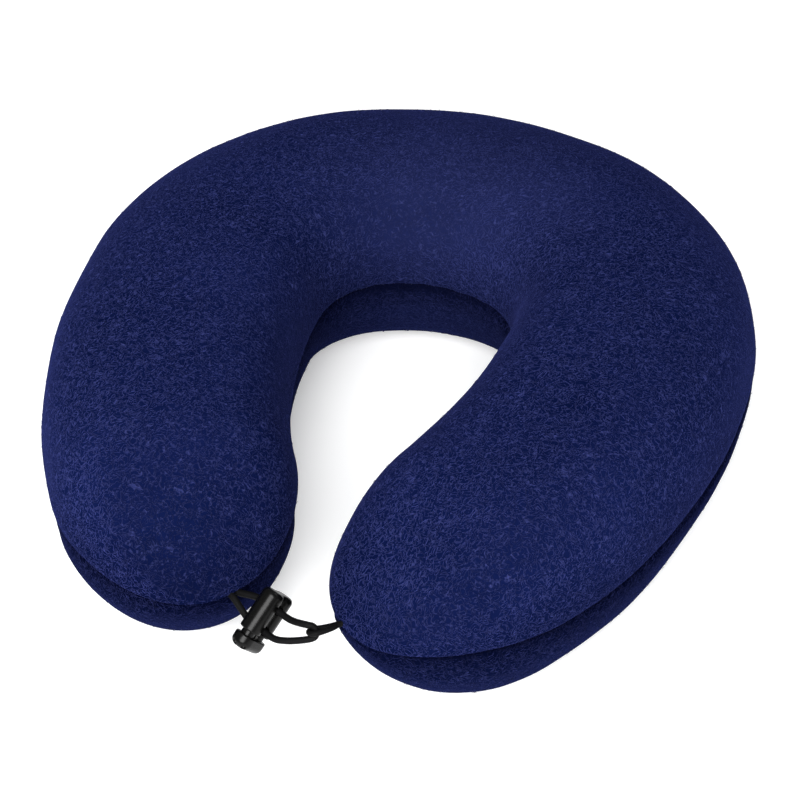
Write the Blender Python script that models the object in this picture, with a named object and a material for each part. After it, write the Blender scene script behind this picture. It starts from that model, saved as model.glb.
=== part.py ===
"""U-shaped neck pillow: moulded foam in a liner, a zipped velour cover and a cord closure.

Metres, +Z up. The pillow lies on its flat underside at z = 0 with its open end towards -Y,
and the origin is under the middle of its outline. Every layer follows one shape: a centre line
that bends round the neck, and a cross-section that is swept along it.
"""

import math

import bmesh
import bpy
import numpy as np
from mathutils import Matrix, Vector

# ---------------------------------------------------------------- driving dimensions
# The centre line: an arc at the back, then one smooth curve to the side and one to the tip.
BACK_RADIUS = 0.1002
BACK_HALF_ANGLE = math.radians(26)
BACK_LEAD = 0.0192
SIDE_OUT = 0.0888
SIDE_FORWARD = 0.0867
SIDE_LEAD_BACK = 0.0431
SIDE_LEAD_FRONT = 0.0294
TIP_OUT = 0.0606
TIP_FORWARD = 0.1958
TIP_TURN = math.radians(31.7)
TIP_LEAD = 0.0413
TIP_ROUND = 0.0623
BACK_Y = 0.1019

# The cross-section, as it changes from the back (0) to the tip (1).
HALF_WIDTH = 0.0495
HALF_WIDTH_GAIN = 0.0010
HALF_WIDTH_TAPER = 0.0036
NECK_WAVES = (-0.00114, 0.00018, 0.00084)
TOP_HEIGHT = 0.0415
TOP_HEIGHT_GAIN = 0.0208
TOP_HEIGHT_TAPER = 0.0205
TOP_LEAN = -0.0065
TOP_LEAN_GAIN = 0.0092
TOP_FULLNESS = 2.63
BOTTOM_FULLNESS = 1.97
TIP_DOME = 0.65
SEAM_HEIGHT = 0.0488
PRESSED_FLAT = 0.0018

# Layers, from the pile inwards.
COVER_THICKNESS = 0.0012
TAPE_THICKNESS = 0.0004
LINER_THICKNESS = 0.0004
PLATE_THICKNESS = 0.00045
FIT_GAP = 0.0003
TAPE_GAP = 0.00035
SEWN_GAP = 0.0003
SEWN_EDGE = 0.010

# Zip.
ZIP_OPENING = 0.0080
COIL_WIDTH = 0.00185
COIL_DEPTH = 0.0013
COIL_SLIT = 0.0009
SLIDER_LENGTH = 0.0090
SLIDER_WALL = 0.0008
SLIDER_POST = 0.0004
SLIDER_FLANGE = 0.0006
SLIDER_RUN = math.radians(19.5)
BAIL_RADIUS = 0.0006
BAIL_INSET = 0.0004
BAIL_LIFT = 0.0004
BAIL_ROOTED = 0.3
EYE_RADIUS = 0.0015
EYE_WALL = 0.0006
TAB_WIDTH = 0.0046
TAB_LENGTH = 0.0200
TAB_THICKNESS = 0.0010
STOP_LENGTH = 0.0018
STOP_ROUNDING = 0.0002

# Cords and cord lock.
CORD_SPACING = 0.6
LEFT_CORD = 0.0026
RIGHT_CORD = 0.0022
LEFT_PAIR = 0.0029
RIGHT_PAIR = 0.0025
ANCHOR_MARGIN = 0.0012
ANCHOR_DEPTH = 0.0024
LEFT_EXIT = 0.0194
RIGHT_EXIT = 0.0223
LOBE_RADIUS = 0.0042
LOBE_OFFSET = 0.0034
LOBE_SWEEP = math.radians(135)
WAIST_SHARE = 0.9
LOCK_WALL = 0.0012
LOCK_LENGTH = 0.0240
BARREL_LENGTH = 0.0170
HEAD_GAP = 0.0018
UPPER_HOLE = -0.0063
LOWER_HOLE = 0.0026
PLUNGER_TRAVEL = 0.0015
LEG_CLEARANCE = 0.0004
LEG_WALL = 0.0007
LEG_END_ROOM = 0.0024
WEB_THICKNESS = 0.0018
SPRING_WIRE = 0.0005
SPRING_TURNS = 6
SPRING_DEPTH = 0.0098
SPRING_CLEARANCE = 0.0002
DIMPLE_RADIUS = 0.0007
DIMPLE_PLACE = 0.7
END_ROUNDING = 0.0011
HOLE_CLEARANCE = 0.0005

# The cord lock's middle, its long axis towards the plunger, and the way the cords pass through.
LOCK_PLACE = Vector((-0.0063, -0.1465, 0.0458))
LOCK_AXIS = Vector((-0.369, -0.689, -0.624)).normalized()
CORD_WAY = Vector((0.895, -0.444, -0.040))

# Where each cord runs, in millimetres: out of the seam, through what it holds, and back.
LEFT_ROUTE = [
    (-19.9, -136.8, 48.8), (-17.6, -138.4, 48.9), (-12.8, -139.1, 49.6), (-8.1, -140.1, 49.9),
    (-4.0, -142.2, 49.7), (3.2, -145.7, 49.4), (6.5, -147.1, 49.9), (9.5, -148.2, 50.9),
    (12.2, -148.7, 51.4), (14.1, -148.4, 50.9), (15.4, -148.8, 49.4), (15.2, -149.8, 47.6),
    (13.6, -150.7, 46.7), (9.9, -151.6, 45.7), (5.0, -152.4, 44.8), (-0.1, -151.8, 43.9),
    (-7.3, -148.3, 44.2), (-11.4, -146.2, 44.4), (-15.4, -143.7, 46.7), (-19.0, -141.2, 48.6),
    (-21.7, -139.2, 48.8),
]
RIGHT_ROUTE = [
    (23.9, -142.0, 49.6), (21.9, -143.9, 49.7), (20.6, -146.3, 50.1), (18.4, -149.0, 50.5),
    (16.0, -151.1, 50.6), (14.1, -151.0, 49.9), (12.9, -149.7, 49.0), (13.2, -147.8, 48.3),
    (14.8, -146.5, 48.2), (17.4, -145.4, 48.5), (19.9, -143.7, 48.5), (21.5, -141.9, 48.1),
    (23.3, -140.2, 48.0),
]

# Mesh fineness.
ARC_STEPS = 6
SHOULDER_STEPS = 4
ARM_STEPS = 5
TIP_ANGLES = (18, 35, 50, 63, 74, 83, 90)
TOP_ANGLES = (32, 55, 80, 105, 130, 155, 180)
BOTTOM_ANGLES = (30, 52, 76, 90, 104, 128, 154, 180)
ROUND_STEPS = 12

# Depths of the layers below the pile's surface.
TAPE_DEPTH = COVER_THICKNESS + TAPE_GAP
PLATE_DEPTH = TAPE_DEPTH + TAPE_THICKNESS + FIT_GAP
LINER_DEPTH = PLATE_DEPTH + PLATE_THICKNESS + FIT_GAP
FOAM_DEPTH = LINER_DEPTH + LINER_THICKNESS + FIT_GAP + SEWN_GAP
COIL_TOP = TAPE_DEPTH - FIT_GAP - COIL_DEPTH
ARC_CENTRE = Vector((0, BACK_Y - BACK_RADIUS, 0))
SEAM_RADIUS = BACK_RADIUS + HALF_WIDTH
ARC_STEP = BACK_HALF_ANGLE / ARC_STEPS
ZIP_END = BACK_HALF_ANGLE - ARC_STEP


# ---------------------------------------------------------------- materials
def material(name, colour, roughness, metallic=0.0):
    made = bpy.data.materials.new(name)
    made.use_nodes = True
    shader = made.node_tree.nodes["Principled BSDF"]
    shader.inputs["Base Color"].default_value = (*colour, 1)
    shader.inputs["Roughness"].default_value = roughness
    shader.inputs["Metallic"].default_value = metallic
    return made


def make_materials():
    return {
        "velour": material("navy_velour", (0.016, 0.019, 0.085), 0.95),
        "foam": material("cream_foam", (0.75, 0.70, 0.55), 0.9),
        "liner": material("white_liner", (0.80, 0.80, 0.78), 0.85),
        "tape": material("navy_tape", (0.012, 0.014, 0.055), 0.8),
        "coil": material("navy_nylon", (0.015, 0.017, 0.060), 0.4),
        "zinc": material("dark_zinc", (0.10, 0.10, 0.11), 0.35, 0.9),
        "plastic": material("black_plastic", (0.012, 0.012, 0.013), 0.35),
        "cord": material("black_cord", (0.010, 0.010, 0.011), 0.75),
        "steel": material("spring_steel", (0.55, 0.55, 0.56), 0.3, 1.0),
    }


# ---------------------------------------------------------------- shape of the pillow
def bezier(start, handle, second_handle, end, steps):
    share = np.linspace(0, 1, steps + 1)[:, None]
    rest = 1 - share
    return (
        rest**3 * start
        + 3 * rest**2 * share * handle
        + 3 * rest * share**2 * second_handle
        + share**3 * end
    )


def centre_line():
    """The right half's centre line from the back to where the tip rounds off, finely divided."""
    side = np.array([SIDE_OUT, -SIDE_FORWARD])
    tip = np.array([TIP_OUT, -TIP_FORWARD])
    turned = np.linspace(0, BACK_HALF_ANGLE, 61)
    arc = BACK_RADIUS * np.stack([np.sin(turned), np.cos(turned) - 1], axis=1)
    arc_way = np.array([math.cos(BACK_HALF_ANGLE), -math.sin(BACK_HALF_ANGLE)])
    tip_way = np.array([-math.sin(TIP_TURN), -math.cos(TIP_TURN)])
    back_handle = side + [0, SIDE_LEAD_BACK]
    front_handle = side - [0, SIDE_LEAD_FRONT]
    shoulder = bezier(arc[-1], arc[-1] + arc_way * BACK_LEAD, back_handle, side, 200)
    arm = bezier(side, front_handle, tip - tip_way * TIP_LEAD, tip, 200)
    return arc, shoulder, arm, tip_way


def lengths(points):
    return np.concatenate([[0], np.cumsum(np.linalg.norm(np.diff(points, axis=0), axis=1))])


class Stations:
    """Places along the whole pillow, from the left tip to the right, for a layer at one depth."""

    def __init__(self, depth):
        arc, shoulder, arm, tip_way = centre_line()
        line = np.concatenate([arc, shoulder[1:], arm[1:]])
        along = lengths(line)
        arc_length = along[len(arc) - 1]
        side_length = along[len(arc) + len(shoulder) - 2]
        arm_length = along[-1]
        stops = np.concatenate([
            np.linspace(0, arc_length, ARC_STEPS + 1),
            np.linspace(arc_length, side_length, SHOULDER_STEPS + 1)[1:],
            np.linspace(side_length, arm_length, ARM_STEPS + 1)[1:],
        ])
        tip_angles = np.radians(TIP_ANGLES)
        over = (TIP_ROUND - depth) * np.sin(tip_angles)
        x = np.interp(stops, along, line[:, 0])
        y = np.interp(stops, along, line[:, 1])
        way = np.stack([np.gradient(line[:, i], along) for i in (0, 1)], axis=1)
        way_x = np.interp(stops, along, way[:, 0])
        way_y = np.interp(stops, along, way[:, 1])
        x = np.concatenate([x, line[-1, 0] + tip_way[0] * over])
        y = np.concatenate([y, line[-1, 1] + tip_way[1] * over])
        way_x = np.concatenate([way_x, np.full(len(over), tip_way[0])])
        way_y = np.concatenate([way_y, np.full(len(over), tip_way[1])])
        size = np.hypot(way_x, way_y)
        share = np.concatenate([stops, arm_length + over]) / arm_length
        taper = np.concatenate([np.ones(len(stops)), np.cos(tip_angles)])
        taper[-1] = 0
        self.x = np.concatenate([-x[:0:-1], x])
        self.y = np.concatenate([y[:0:-1], y]) + BACK_Y
        self.out_x = np.concatenate([(way_y / size)[:0:-1], (-way_y / size)])
        self.out_y = np.concatenate([(way_x / size)[:0:-1], (way_x / size)])
        self.share = np.concatenate([share[:0:-1], share])
        self.taper = np.concatenate([taper[:0:-1], taper])
        self.depth = depth
        self.middle = len(x) - 1

    def outer_width(self):
        wide = HALF_WIDTH + HALF_WIDTH_GAIN * self.share**2 - HALF_WIDTH_TAPER * self.share**4
        return (wide - self.depth) * self.taper

    def inner_width(self):
        capped = np.minimum(self.share, 1)
        waves = sum(
            size * np.sin((turn + 1) * math.pi * capped) for turn, size in enumerate(NECK_WAVES)
        )
        return self.outer_width() + waves * self.taper

    def height(self, half):
        """Height of the upper half (half = 1) above the seam, or depth of the lower (-1)."""
        dome = self.taper ** (2 * TIP_DOME)
        if half > 0:
            gain = TOP_HEIGHT_GAIN * self.share**2 - TOP_HEIGHT_TAPER * self.share**4
            return (TOP_HEIGHT + gain - self.depth) * dome
        return (SEAM_HEIGHT + PRESSED_FLAT - self.depth) * dome

    def lean(self):
        return (TOP_LEAN + TOP_LEAN_GAIN * self.share**2) * self.taper

    def edge_angle(self, half, rise):
        """The section angle at which the skin is this far above or below the seam."""
        height = np.maximum(self.height(half), 1e-9)
        power = fullness(half)
        ratio = np.clip((rise / height) ** (power / 2), 0, math.sin(math.radians(20)))
        return np.arcsin(ratio)

    def skin(self, half, angles):
        """Points of the layer's surface, a row for each station and a column for each angle."""
        power = fullness(half)
        cos, sin = np.cos(angles), np.sin(angles)
        across = np.sign(cos) * np.abs(cos) ** (2 / power)
        up = np.abs(sin) ** (2 / power)
        width = np.where(cos >= 0, self.outer_width()[:, None], self.inner_width()[:, None])
        reach = width * across
        if half > 0:
            reach = reach + self.lean()[:, None] * sin**2
        z = SEAM_HEIGHT + half * self.height(half)[:, None] * up
        x = self.x[:, None] + self.out_x[:, None] * reach
        y = self.y[:, None] + self.out_y[:, None] * reach
        return np.stack([x, y, np.maximum(z, self.depth)], axis=2)


def fullness(half):
    return TOP_FULLNESS if half > 0 else BOTTOM_FULLNESS


def section_angles(stations, half, opening):
    """Angles across one half: the cut edge, the sewn edge, then round to the neck side."""
    count = len(stations.x)
    steps = TOP_ANGLES if half > 0 else BOTTOM_ANGLES
    edge = stations.edge_angle(half, opening)
    sewn = stations.edge_angle(half, np.full(count, SEWN_EDGE))
    round_to_neck = np.tile(np.radians(steps), (count, 1))
    return np.concatenate([edge[:, None], sewn[:, None], round_to_neck], axis=1)


def zip_opening(stations):
    """Half the height of the slot for the zip at each station, and nothing away from it."""
    place = np.arange(len(stations.x)) - stations.middle
    return np.where(np.abs(place) < ARC_STEPS, ZIP_OPENING / 2, 0.0)


# ---------------------------------------------------------------- building objects
def add_object(name, mesh, look, smooth_angle=40):
    made = bpy.data.objects.new(name, mesh)
    bpy.context.scene.collection.objects.link(made)
    mesh.materials.append(look)
    mesh.shade_smooth()
    mesh.set_sharp_from_angle(angle=math.radians(smooth_angle))
    return made


def mesh_from(name, points, faces):
    mesh = bpy.data.meshes.new(name)
    shape = bmesh.new()
    corners = [shape.verts.new(point) for point in points]
    for face in faces:
        shape.faces.new([corners[i] for i in face])
    bmesh.ops.remove_doubles(shape, verts=shape.verts, dist=1e-6)
    bmesh.ops.recalc_face_normals(shape, faces=shape.faces)
    shape.to_mesh(mesh)
    shape.free()
    return mesh


def grid_faces(rows, columns, start=0, closed=False):
    faces = []
    for row in range(rows - 1):
        for column in range(columns if closed else columns - 1):
            here = start + row * columns + column
            beside = start + row * columns + (column + 1) % columns
            faces.append((here, beside, beside + columns, here + columns))
    return faces


def shell(name, half, depth, thickness, lift, opening, look):
    """One half of the cover or liner: a thin bowl whose rim is the seam."""
    layers = []
    for layer_depth in (depth, depth + thickness):
        stations = Stations(layer_depth)
        slot = zip_opening(stations) * opening
        points = stations.skin(half, section_angles(stations, half, slot))
        points[:, :, 2] += half * lift
        if half < 0:
            points[:, :, 2] = np.maximum(points[:, :, 2], layer_depth)
        layers.append(points)
    rows, columns, _ = layers[0].shape
    size = rows * columns
    points = np.concatenate([layer.reshape(-1, 3) for layer in layers])
    faces = grid_faces(rows, columns) + grid_faces(rows, columns, size)
    for column in (0, columns - 1):
        for row in range(rows - 1):
            here = row * columns + column
            faces.append((here, here + columns, here + columns + size, here + size))
    return add_object(name, mesh_from(name, points, faces), look)


def foam(name, look):
    """The moulded foam: both halves of the section as one closed body."""
    stations = Stations(FOAM_DEPTH)
    none = np.zeros(len(stations.x))
    top = stations.skin(1, section_angles(stations, 1, none))
    bottom = stations.skin(-1, section_angles(stations, -1, none))
    ring = np.concatenate([top, bottom[:, -2:0:-1]], axis=1)
    rows, columns, _ = ring.shape
    faces = grid_faces(rows, columns, closed=True)
    return add_object(name, mesh_from(name, ring.reshape(-1, 3), faces), look)


def seam_strip(name, depth, thickness, rises, reach, look):
    """A band that follows the back seam, between two depths, through the given heights."""
    points = []
    for layer_depth in (depth, depth + thickness):
        stations = Stations(layer_depth)
        half = 1 if rises[-1] > 0 else -1
        used = slice(stations.middle - reach, stations.middle + reach + 1)
        angles = np.stack(
            [stations.edge_angle(half, np.full(len(stations.x), abs(rise))) for rise in rises],
            axis=1,
        )
        points.append(stations.skin(half, angles)[used])
    ring = np.concatenate([points[0], points[1][:, ::-1]], axis=1)
    rows, columns, _ = ring.shape
    faces = grid_faces(rows, columns, closed=True)
    faces.append(tuple(range(columns)))
    faces.append(tuple(range((rows - 1) * columns, rows * columns)))
    return add_object(name, mesh_from(name, ring.reshape(-1, 3), faces), look)


def prism(name, outline, low, high, look, across=(0, 1, 2), bevel=0.0):
    """A closed outline extruded from low to high. `across` says which axes it lies along."""
    points = []
    for level in (low, high):
        for first, second in outline:
            place = [0, 0, 0]
            place[across[0]], place[across[1]], place[across[2]] = first, second, level
            points.append(place)
    count = len(outline)
    faces = [tuple(range(count)), tuple(range(count, 2 * count))]
    for i in range(count):
        after = (i + 1) % count
        faces.append((i, after, count + after, count + i))
    made = add_object(name, mesh_from(name, points, faces), look)
    if bevel:
        edge = made.modifiers.new("soft_edges", "BEVEL")
        edge.width = bevel
        edge.segments = 2
        edge.limit_method = "ANGLE"
        edge.angle_limit = math.radians(50)
    return made


def box_outline(x_low, x_high, y_low, y_high):
    return [(x_low, y_low), (x_high, y_low), (x_high, y_high), (x_low, y_high)]


def circle_outline(radius, centre=(0, 0), steps=ROUND_STEPS):
    turns = [2 * math.pi * (i + 0.5) / steps for i in range(steps)]
    return [(centre[0] + radius * math.cos(a), centre[1] + radius * math.sin(a)) for a in turns]


def combine(made, helper, operation):
    """Cuts a helper from an object, or adds it, and leaves the helper out of the model."""
    change = made.modifiers.new(helper.name, "BOOLEAN")
    change.operation = operation
    change.object = helper
    change.solver = "EXACT"
    helper.hide_render = True
    helper.display_type = "WIRE"
    helper.parent = made.parent
    return made


def smooth_route(route, spacing):
    """Evenly spaced points, in metres, on a smooth curve through the route's own points."""
    own = np.array(route) / 1000
    ends = [2 * own[0] - own[1], *own, 2 * own[-1] - own[-2]]
    fine = []
    for before, start, end, after in zip(ends, ends[1:], ends[2:], ends[3:]):
        share = np.linspace(0, 1, 12, endpoint=False)[:, None]
        fine.append(0.5 * (
            2 * start
            + (end - before) * share
            + (2 * before - 5 * start + 4 * end - after) * share**2
            + (3 * start - before - 3 * end + after) * share**3
        ))
    fine = np.concatenate([*fine, own[-1:]])
    along = lengths(fine)
    stops = np.linspace(0, along[-1], max(2, round(along[-1] / spacing)) + 1)
    return np.stack([np.interp(stops, along, fine[:, i]) for i in range(3)], axis=1)


def tube(name, points, diameter, look, resolution=2):
    curve = bpy.data.curves.new(name, "CURVE")
    curve.dimensions = "3D"
    curve.bevel_depth = diameter / 2
    curve.bevel_resolution = resolution
    curve.use_fill_caps = True
    spline = curve.splines.new("POLY")
    spline.points.add(len(points) - 1)
    for knot, place in zip(spline.points, points):
        knot.co = (*place, 1)
    spline.use_smooth = True
    curve.materials.append(look)
    made = bpy.data.objects.new(name, curve)
    bpy.context.scene.collection.objects.link(made)
    return made


# ---------------------------------------------------------------- foam, liner and cover
def make_soft_parts(looks):
    foam("foam_core", looks["foam"])
    for half, word in ((1, "upper"), (-1, "lower")):
        shell(f"liner_{word}", half, LINER_DEPTH, LINER_THICKNESS, SEWN_GAP / 2, 0, looks["liner"])
    covers = []
    for half, word in ((1, "top"), (-1, "bottom")):
        name = f"cover_{word}_panel"
        covers.append(shell(name, half, 0, COVER_THICKNESS, SEWN_GAP / 2, 1, looks["velour"]))
    return covers


# ---------------------------------------------------------------- zip
def depth_at(depth):
    """Distance from the zip's axis of something this deep below the pile's surface."""
    return SEAM_RADIUS - depth


def make_zip(looks):
    edge = COIL_SLIT / 2
    for sign, word in ((1, "upper"), (-1, "lower")):
        rises = [sign * rise for rise in (edge, ZIP_OPENING / 2, SEWN_EDGE)]
        seam_strip(f"zip_tape_{word}", TAPE_DEPTH, TAPE_THICKNESS, rises, ARC_STEPS, looks["tape"])
        rises = [sign * rise for rise in (edge, edge + COIL_WIDTH)]
        seam_strip(f"zip_coil_{word}", COIL_TOP, COIL_DEPTH, rises, ARC_STEPS - 1, looks["coil"])
    make_stops(looks["zinc"])
    slider = make_slider(looks["zinc"])
    make_pull_tab(slider, looks["zinc"])


def make_stops(look):
    """Crimped stops beyond the coils' ends: one on each coil where it closes, one across both."""
    near, far = COIL_SLIT / 2, COIL_SLIT / 2 + COIL_WIDTH
    inner, outer = depth_at(TAPE_DEPTH - FIT_GAP), depth_at(COIL_TOP)
    half = STOP_LENGTH / 2
    turn = ZIP_END + (half + FIT_GAP) / SEAM_RADIUS
    spans = (
        ("zip_top_stop_upper", 1, near, far),
        ("zip_top_stop_lower", 1, -far, -near),
        ("zip_bottom_stop", -1, -far, far),
    )
    for name, side, low, high in spans:
        outline = box_outline(-half, half, inner, outer)
        stop = prism(name, outline, low, high, look, bevel=STOP_ROUNDING)
        stop.location = ARC_CENTRE + Vector((0, 0, SEAM_HEIGHT))
        stop.rotation_euler = (0, 0, side * turn)


def make_slider(look):
    """Two plates joined by a thin post that runs between the coils, with a bail for the tab."""
    flange_in = COIL_SLIT / 2 + COIL_WIDTH + FIT_GAP
    flange_out = flange_in + SLIDER_FLANGE
    post = SLIDER_POST / 2
    outer_top = depth_at(COIL_TOP - FIT_GAP - SLIDER_WALL)
    outer_low = depth_at(COIL_TOP - FIT_GAP)
    flange_low = depth_at(TAPE_DEPTH - 2 * FIT_GAP)
    inner_top = depth_at(PLATE_DEPTH)
    inner_low = depth_at(PLATE_DEPTH + PLATE_THICKNESS)
    right = [
        (inner_low, flange_in), (inner_top, flange_in), (inner_top, post), (outer_low, post),
        (outer_low, flange_in), (flange_low, flange_in), (flange_low, flange_out),
        (outer_top, flange_out),
    ]
    outline = right + [(y, -z) for y, z in reversed(right)]
    half = SLIDER_LENGTH / 2
    slider = prism("zip_slider", outline, -half, half, look, across=(1, 2, 0))
    foot = outer_top - BAIL_ROOTED * SLIDER_WALL
    bar = bail_place()
    leg_out = half - BAIL_INSET
    leg_in = leg_out - 2 * BAIL_RADIUS
    arch = [
        (-leg_out, foot), (-leg_in, foot), (-leg_in, bar - BAIL_RADIUS),
        (leg_in, bar - BAIL_RADIUS), (leg_in, foot), (leg_out, foot),
        (leg_out, bar), (leg_out - BAIL_RADIUS, bar + BAIL_RADIUS),
        (BAIL_RADIUS - leg_out, bar + BAIL_RADIUS), (-leg_out, bar),
    ]
    bail = prism("bail_shape", arch, -BAIL_RADIUS, BAIL_RADIUS, look)
    combine(slider, bail, "UNION")
    for piece in (slider, bail):
        piece.location = ARC_CENTRE + Vector((0, 0, SEAM_HEIGHT))
        piece.rotation_euler = (0, 0, SLIDER_RUN)
    return slider


def bail_place():
    """Distance of the bail's bar from the zip's axis."""
    return depth_at(COIL_TOP - FIT_GAP - SLIDER_WALL - BAIL_LIFT - EYE_RADIUS)


def make_pull_tab(slider, look):
    """A flat tab that hangs by its eye from the slider's bail."""
    half = TAB_THICKNESS / 2
    meet = math.asin(half / EYE_RADIUS)
    arc = [math.pi * 1.5 + meet + (2 * math.pi - 2 * meet) * i / 14 for i in range(15)]
    outline = [(EYE_RADIUS * math.cos(a), EYE_RADIUS * math.sin(a)) for a in arc]
    foot = -(TAB_LENGTH - EYE_RADIUS)
    outline += [(-half, foot), (half, foot)]
    tab = prism("zip_pull_tab", outline, -TAB_WIDTH / 2, TAB_WIDTH / 2, look, across=(1, 2, 0))
    hole = prism(
        "tab_eye_shape",
        circle_outline(EYE_RADIUS - EYE_WALL),
        -TAB_WIDTH, TAB_WIDTH, look, across=(1, 2, 0),
    )
    combine(tab, hole, "DIFFERENCE")
    for piece in (tab, hole):
        piece.parent = slider
        piece.location = (0, bail_place(), 0)


# ---------------------------------------------------------------- cords and their anchors
def cord_exit(side, from_middle):
    """Where a cord leaves a tip's seam, this far from the middle, and the way out there."""
    stations = Stations(0)
    neck_seam = stations.skin(1, np.full((len(stations.x), 1), math.pi))[stations.middle:, 0]
    arm = neck_seam[ARC_STEPS + SHOULDER_STEPS:]
    line = arm[np.argmin(arm[:, 0]):]
    order = np.argsort(line[:, 0])
    around = [from_middle - 1e-3, from_middle, from_middle + 1e-3]
    near = np.interp(around, line[order, 0], line[order, 1])
    way = Vector((near[2] - near[0], -2e-3, 0)).normalized()
    return Vector((side * from_middle, near[1], SEAM_HEIGHT)), Vector((side * way.x, way.y, 0))


def facing(place, way):
    """A frame at a place whose Y axis points the given way and whose Z axis is up."""
    across = way.cross(Vector((0, 0, 1))).normalized()
    rows = Matrix((across, way, across.cross(way))).transposed().to_4x4()
    rows.translation = place
    return rows


def make_cords(covers, looks):
    sides = (
        (-1, "left", LEFT_ROUTE, LEFT_CORD, LEFT_PAIR, LEFT_EXIT),
        (1, "right", RIGHT_ROUTE, RIGHT_CORD, RIGHT_PAIR, RIGHT_EXIT),
    )
    for side, word, route, diameter, pair, exit_place in sides:
        points = smooth_route(route, CORD_SPACING * diameter)
        tube(f"{word}_cord", points, diameter, looks["cord"])
        place, way = cord_exit(side, exit_place)
        frame = facing(place, way)
        width = (pair + diameter + ANCHOR_MARGIN) / 2
        height = diameter / 2 + ANCHOR_MARGIN
        outline = box_outline(-width, width, -height, height)
        back = -ANCHOR_DEPTH - LINER_THICKNESS
        anchor = prism(
            f"{word}_cord_anchor", outline, back, -ANCHOR_DEPTH, looks["tape"], across=(0, 2, 1)
        )
        anchor.matrix_world = frame
        radius = pair / 2 + diameter / 2 + FIT_GAP
        for cover in covers:
            eye = prism(
                f"{word}_seam_eye", circle_outline(radius, steps=16),
                -1.4 * ANCHOR_DEPTH, 2 * ANCHOR_DEPTH, looks["tape"], across=(0, 2, 1),
            )
            eye.matrix_world = frame
            combine(cover, eye, "DIFFERENCE")


# ---------------------------------------------------------------- cord lock
def lobed_outline(inset):
    """Two round lobes side by side, joined by a waist, seen along the lock's long axis."""
    radius = LOBE_RADIUS - inset
    meeting = math.acos(max(-1, -WAIST_SHARE * LOBE_OFFSET / radius))
    sweep = min(LOBE_SWEEP, meeting)
    turns = [sweep * (2 * i / ROUND_STEPS - 1) for i in range(ROUND_STEPS + 1)]
    near = [(radius * math.sin(a), LOBE_OFFSET + radius * math.cos(a)) for a in turns]
    return near + [(-x, -y) for x, y in near]


def make_cord_lock(looks):
    way = (CORD_WAY - CORD_WAY.dot(LOCK_AXIS) * LOCK_AXIS).normalized()
    frame = Matrix((way, LOCK_AXIS.cross(way), LOCK_AXIS)).transposed().to_4x4()
    frame.translation = LOCK_PLACE
    start = -LOCK_LENGTH / 2
    mouth = start + BARREL_LENGTH
    holes = (UPPER_HOLE, LOWER_HOLE)
    pieces = make_barrel(start, mouth, holes, looks["plastic"])
    pieces += make_plunger(start, mouth, holes, looks["plastic"])
    pieces += make_springs(start, looks["steel"])
    for piece in pieces:
        piece.matrix_world = frame


def make_barrel(start, mouth, holes, look):
    barrel = prism("cord_lock_barrel", lobed_outline(0), start, mouth, look, bevel=END_ROUNDING)
    cavity = prism("cavity_shape", lobed_outline(LOCK_WALL), start + LOCK_WALL, mouth + 0.01, look)
    pieces = [barrel, cavity]
    for hole in holes:
        pieces.append(prism(
            "cord_hole_shape", circle_outline(LEFT_CORD / 2 + HOLE_CLEARANCE, (0, hole)),
            -2 * LOBE_RADIUS, 2 * LOBE_RADIUS, look, across=(1, 2, 0),
        ))
    for cutter in pieces[1:]:
        combine(barrel, cutter, "DIFFERENCE")
    return pieces


def make_plunger(start, mouth, holes, look):
    """A domed head, a hollow leg in each lobe, and a web between them that nips the cords."""
    top = start + LOCK_LENGTH
    head_low = mouth + HEAD_GAP
    leg_low = start + LOCK_WALL + LEG_END_ROOM
    leg_radius = LOBE_RADIUS - LOCK_WALL - LEG_CLEARANCE
    head = prism("cord_lock_plunger", lobed_outline(0), head_low, top, look, bevel=END_ROUNDING)
    web = WEB_THICKNESS / 2
    added = [prism(
        "web_shape", box_outline(-web, web, -LOBE_OFFSET, LOBE_OFFSET), leg_low,
        head_low + LOCK_WALL, look,
    )]
    cut = []
    for side in (1, -1):
        middle = (0, side * LOBE_OFFSET)
        leg = circle_outline(leg_radius, middle)
        added.append(prism("leg_shape", leg, leg_low, head_low + LOCK_WALL, look))
        bore = circle_outline(leg_radius - LEG_WALL, middle)
        bore_end = start + LOCK_WALL + SPRING_DEPTH
        cut.append(prism("leg_bore_shape", bore, leg_low - 0.001, bore_end, look))
        dimple = circle_outline(DIMPLE_RADIUS, (0, side * LOBE_OFFSET * DIMPLE_PLACE))
        cut.append(prism("dimple_shape", dimple, top - DIMPLE_RADIUS, top + 0.001, look))
    reach = LEFT_CORD / 2 + FIT_GAP
    for hole in holes:
        slot = box_outline(-reach, reach, hole - reach, hole + reach + PLUNGER_TRAVEL)
        wide = 2 * LOBE_RADIUS
        cut.append(prism("slot_shape", slot, -wide, wide, look, across=(1, 2, 0)))
    for piece in added:
        combine(head, piece, "UNION")
    for piece in cut:
        combine(head, piece, "DIFFERENCE")
    return [head, *added, *cut]


def make_springs(start, look):
    """A spring in each of the plunger's legs, standing on the barrel's closed end."""
    leg_bore = LOBE_RADIUS - LOCK_WALL - LEG_CLEARANCE - LEG_WALL
    radius = leg_bore - SPRING_CLEARANCE - SPRING_WIRE / 2
    low = start + LOCK_WALL + FIT_GAP + SPRING_WIRE / 2
    high = start + LOCK_WALL + SPRING_DEPTH - FIT_GAP - SPRING_WIRE / 2
    count = 8 * SPRING_TURNS
    springs = []
    for side, word in ((1, "near"), (-1, "far")):
        points = []
        for i in range(count + 1):
            turn = 2 * math.pi * SPRING_TURNS * i / count
            level = low + (high - low) * i / count
            x, y = radius * math.cos(turn), side * LOBE_OFFSET + radius * math.sin(turn)
            points.append((x, y, level))
        springs.append(tube(f"cord_lock_spring_{word}", points, SPRING_WIRE, look, 1))
    return springs


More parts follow.
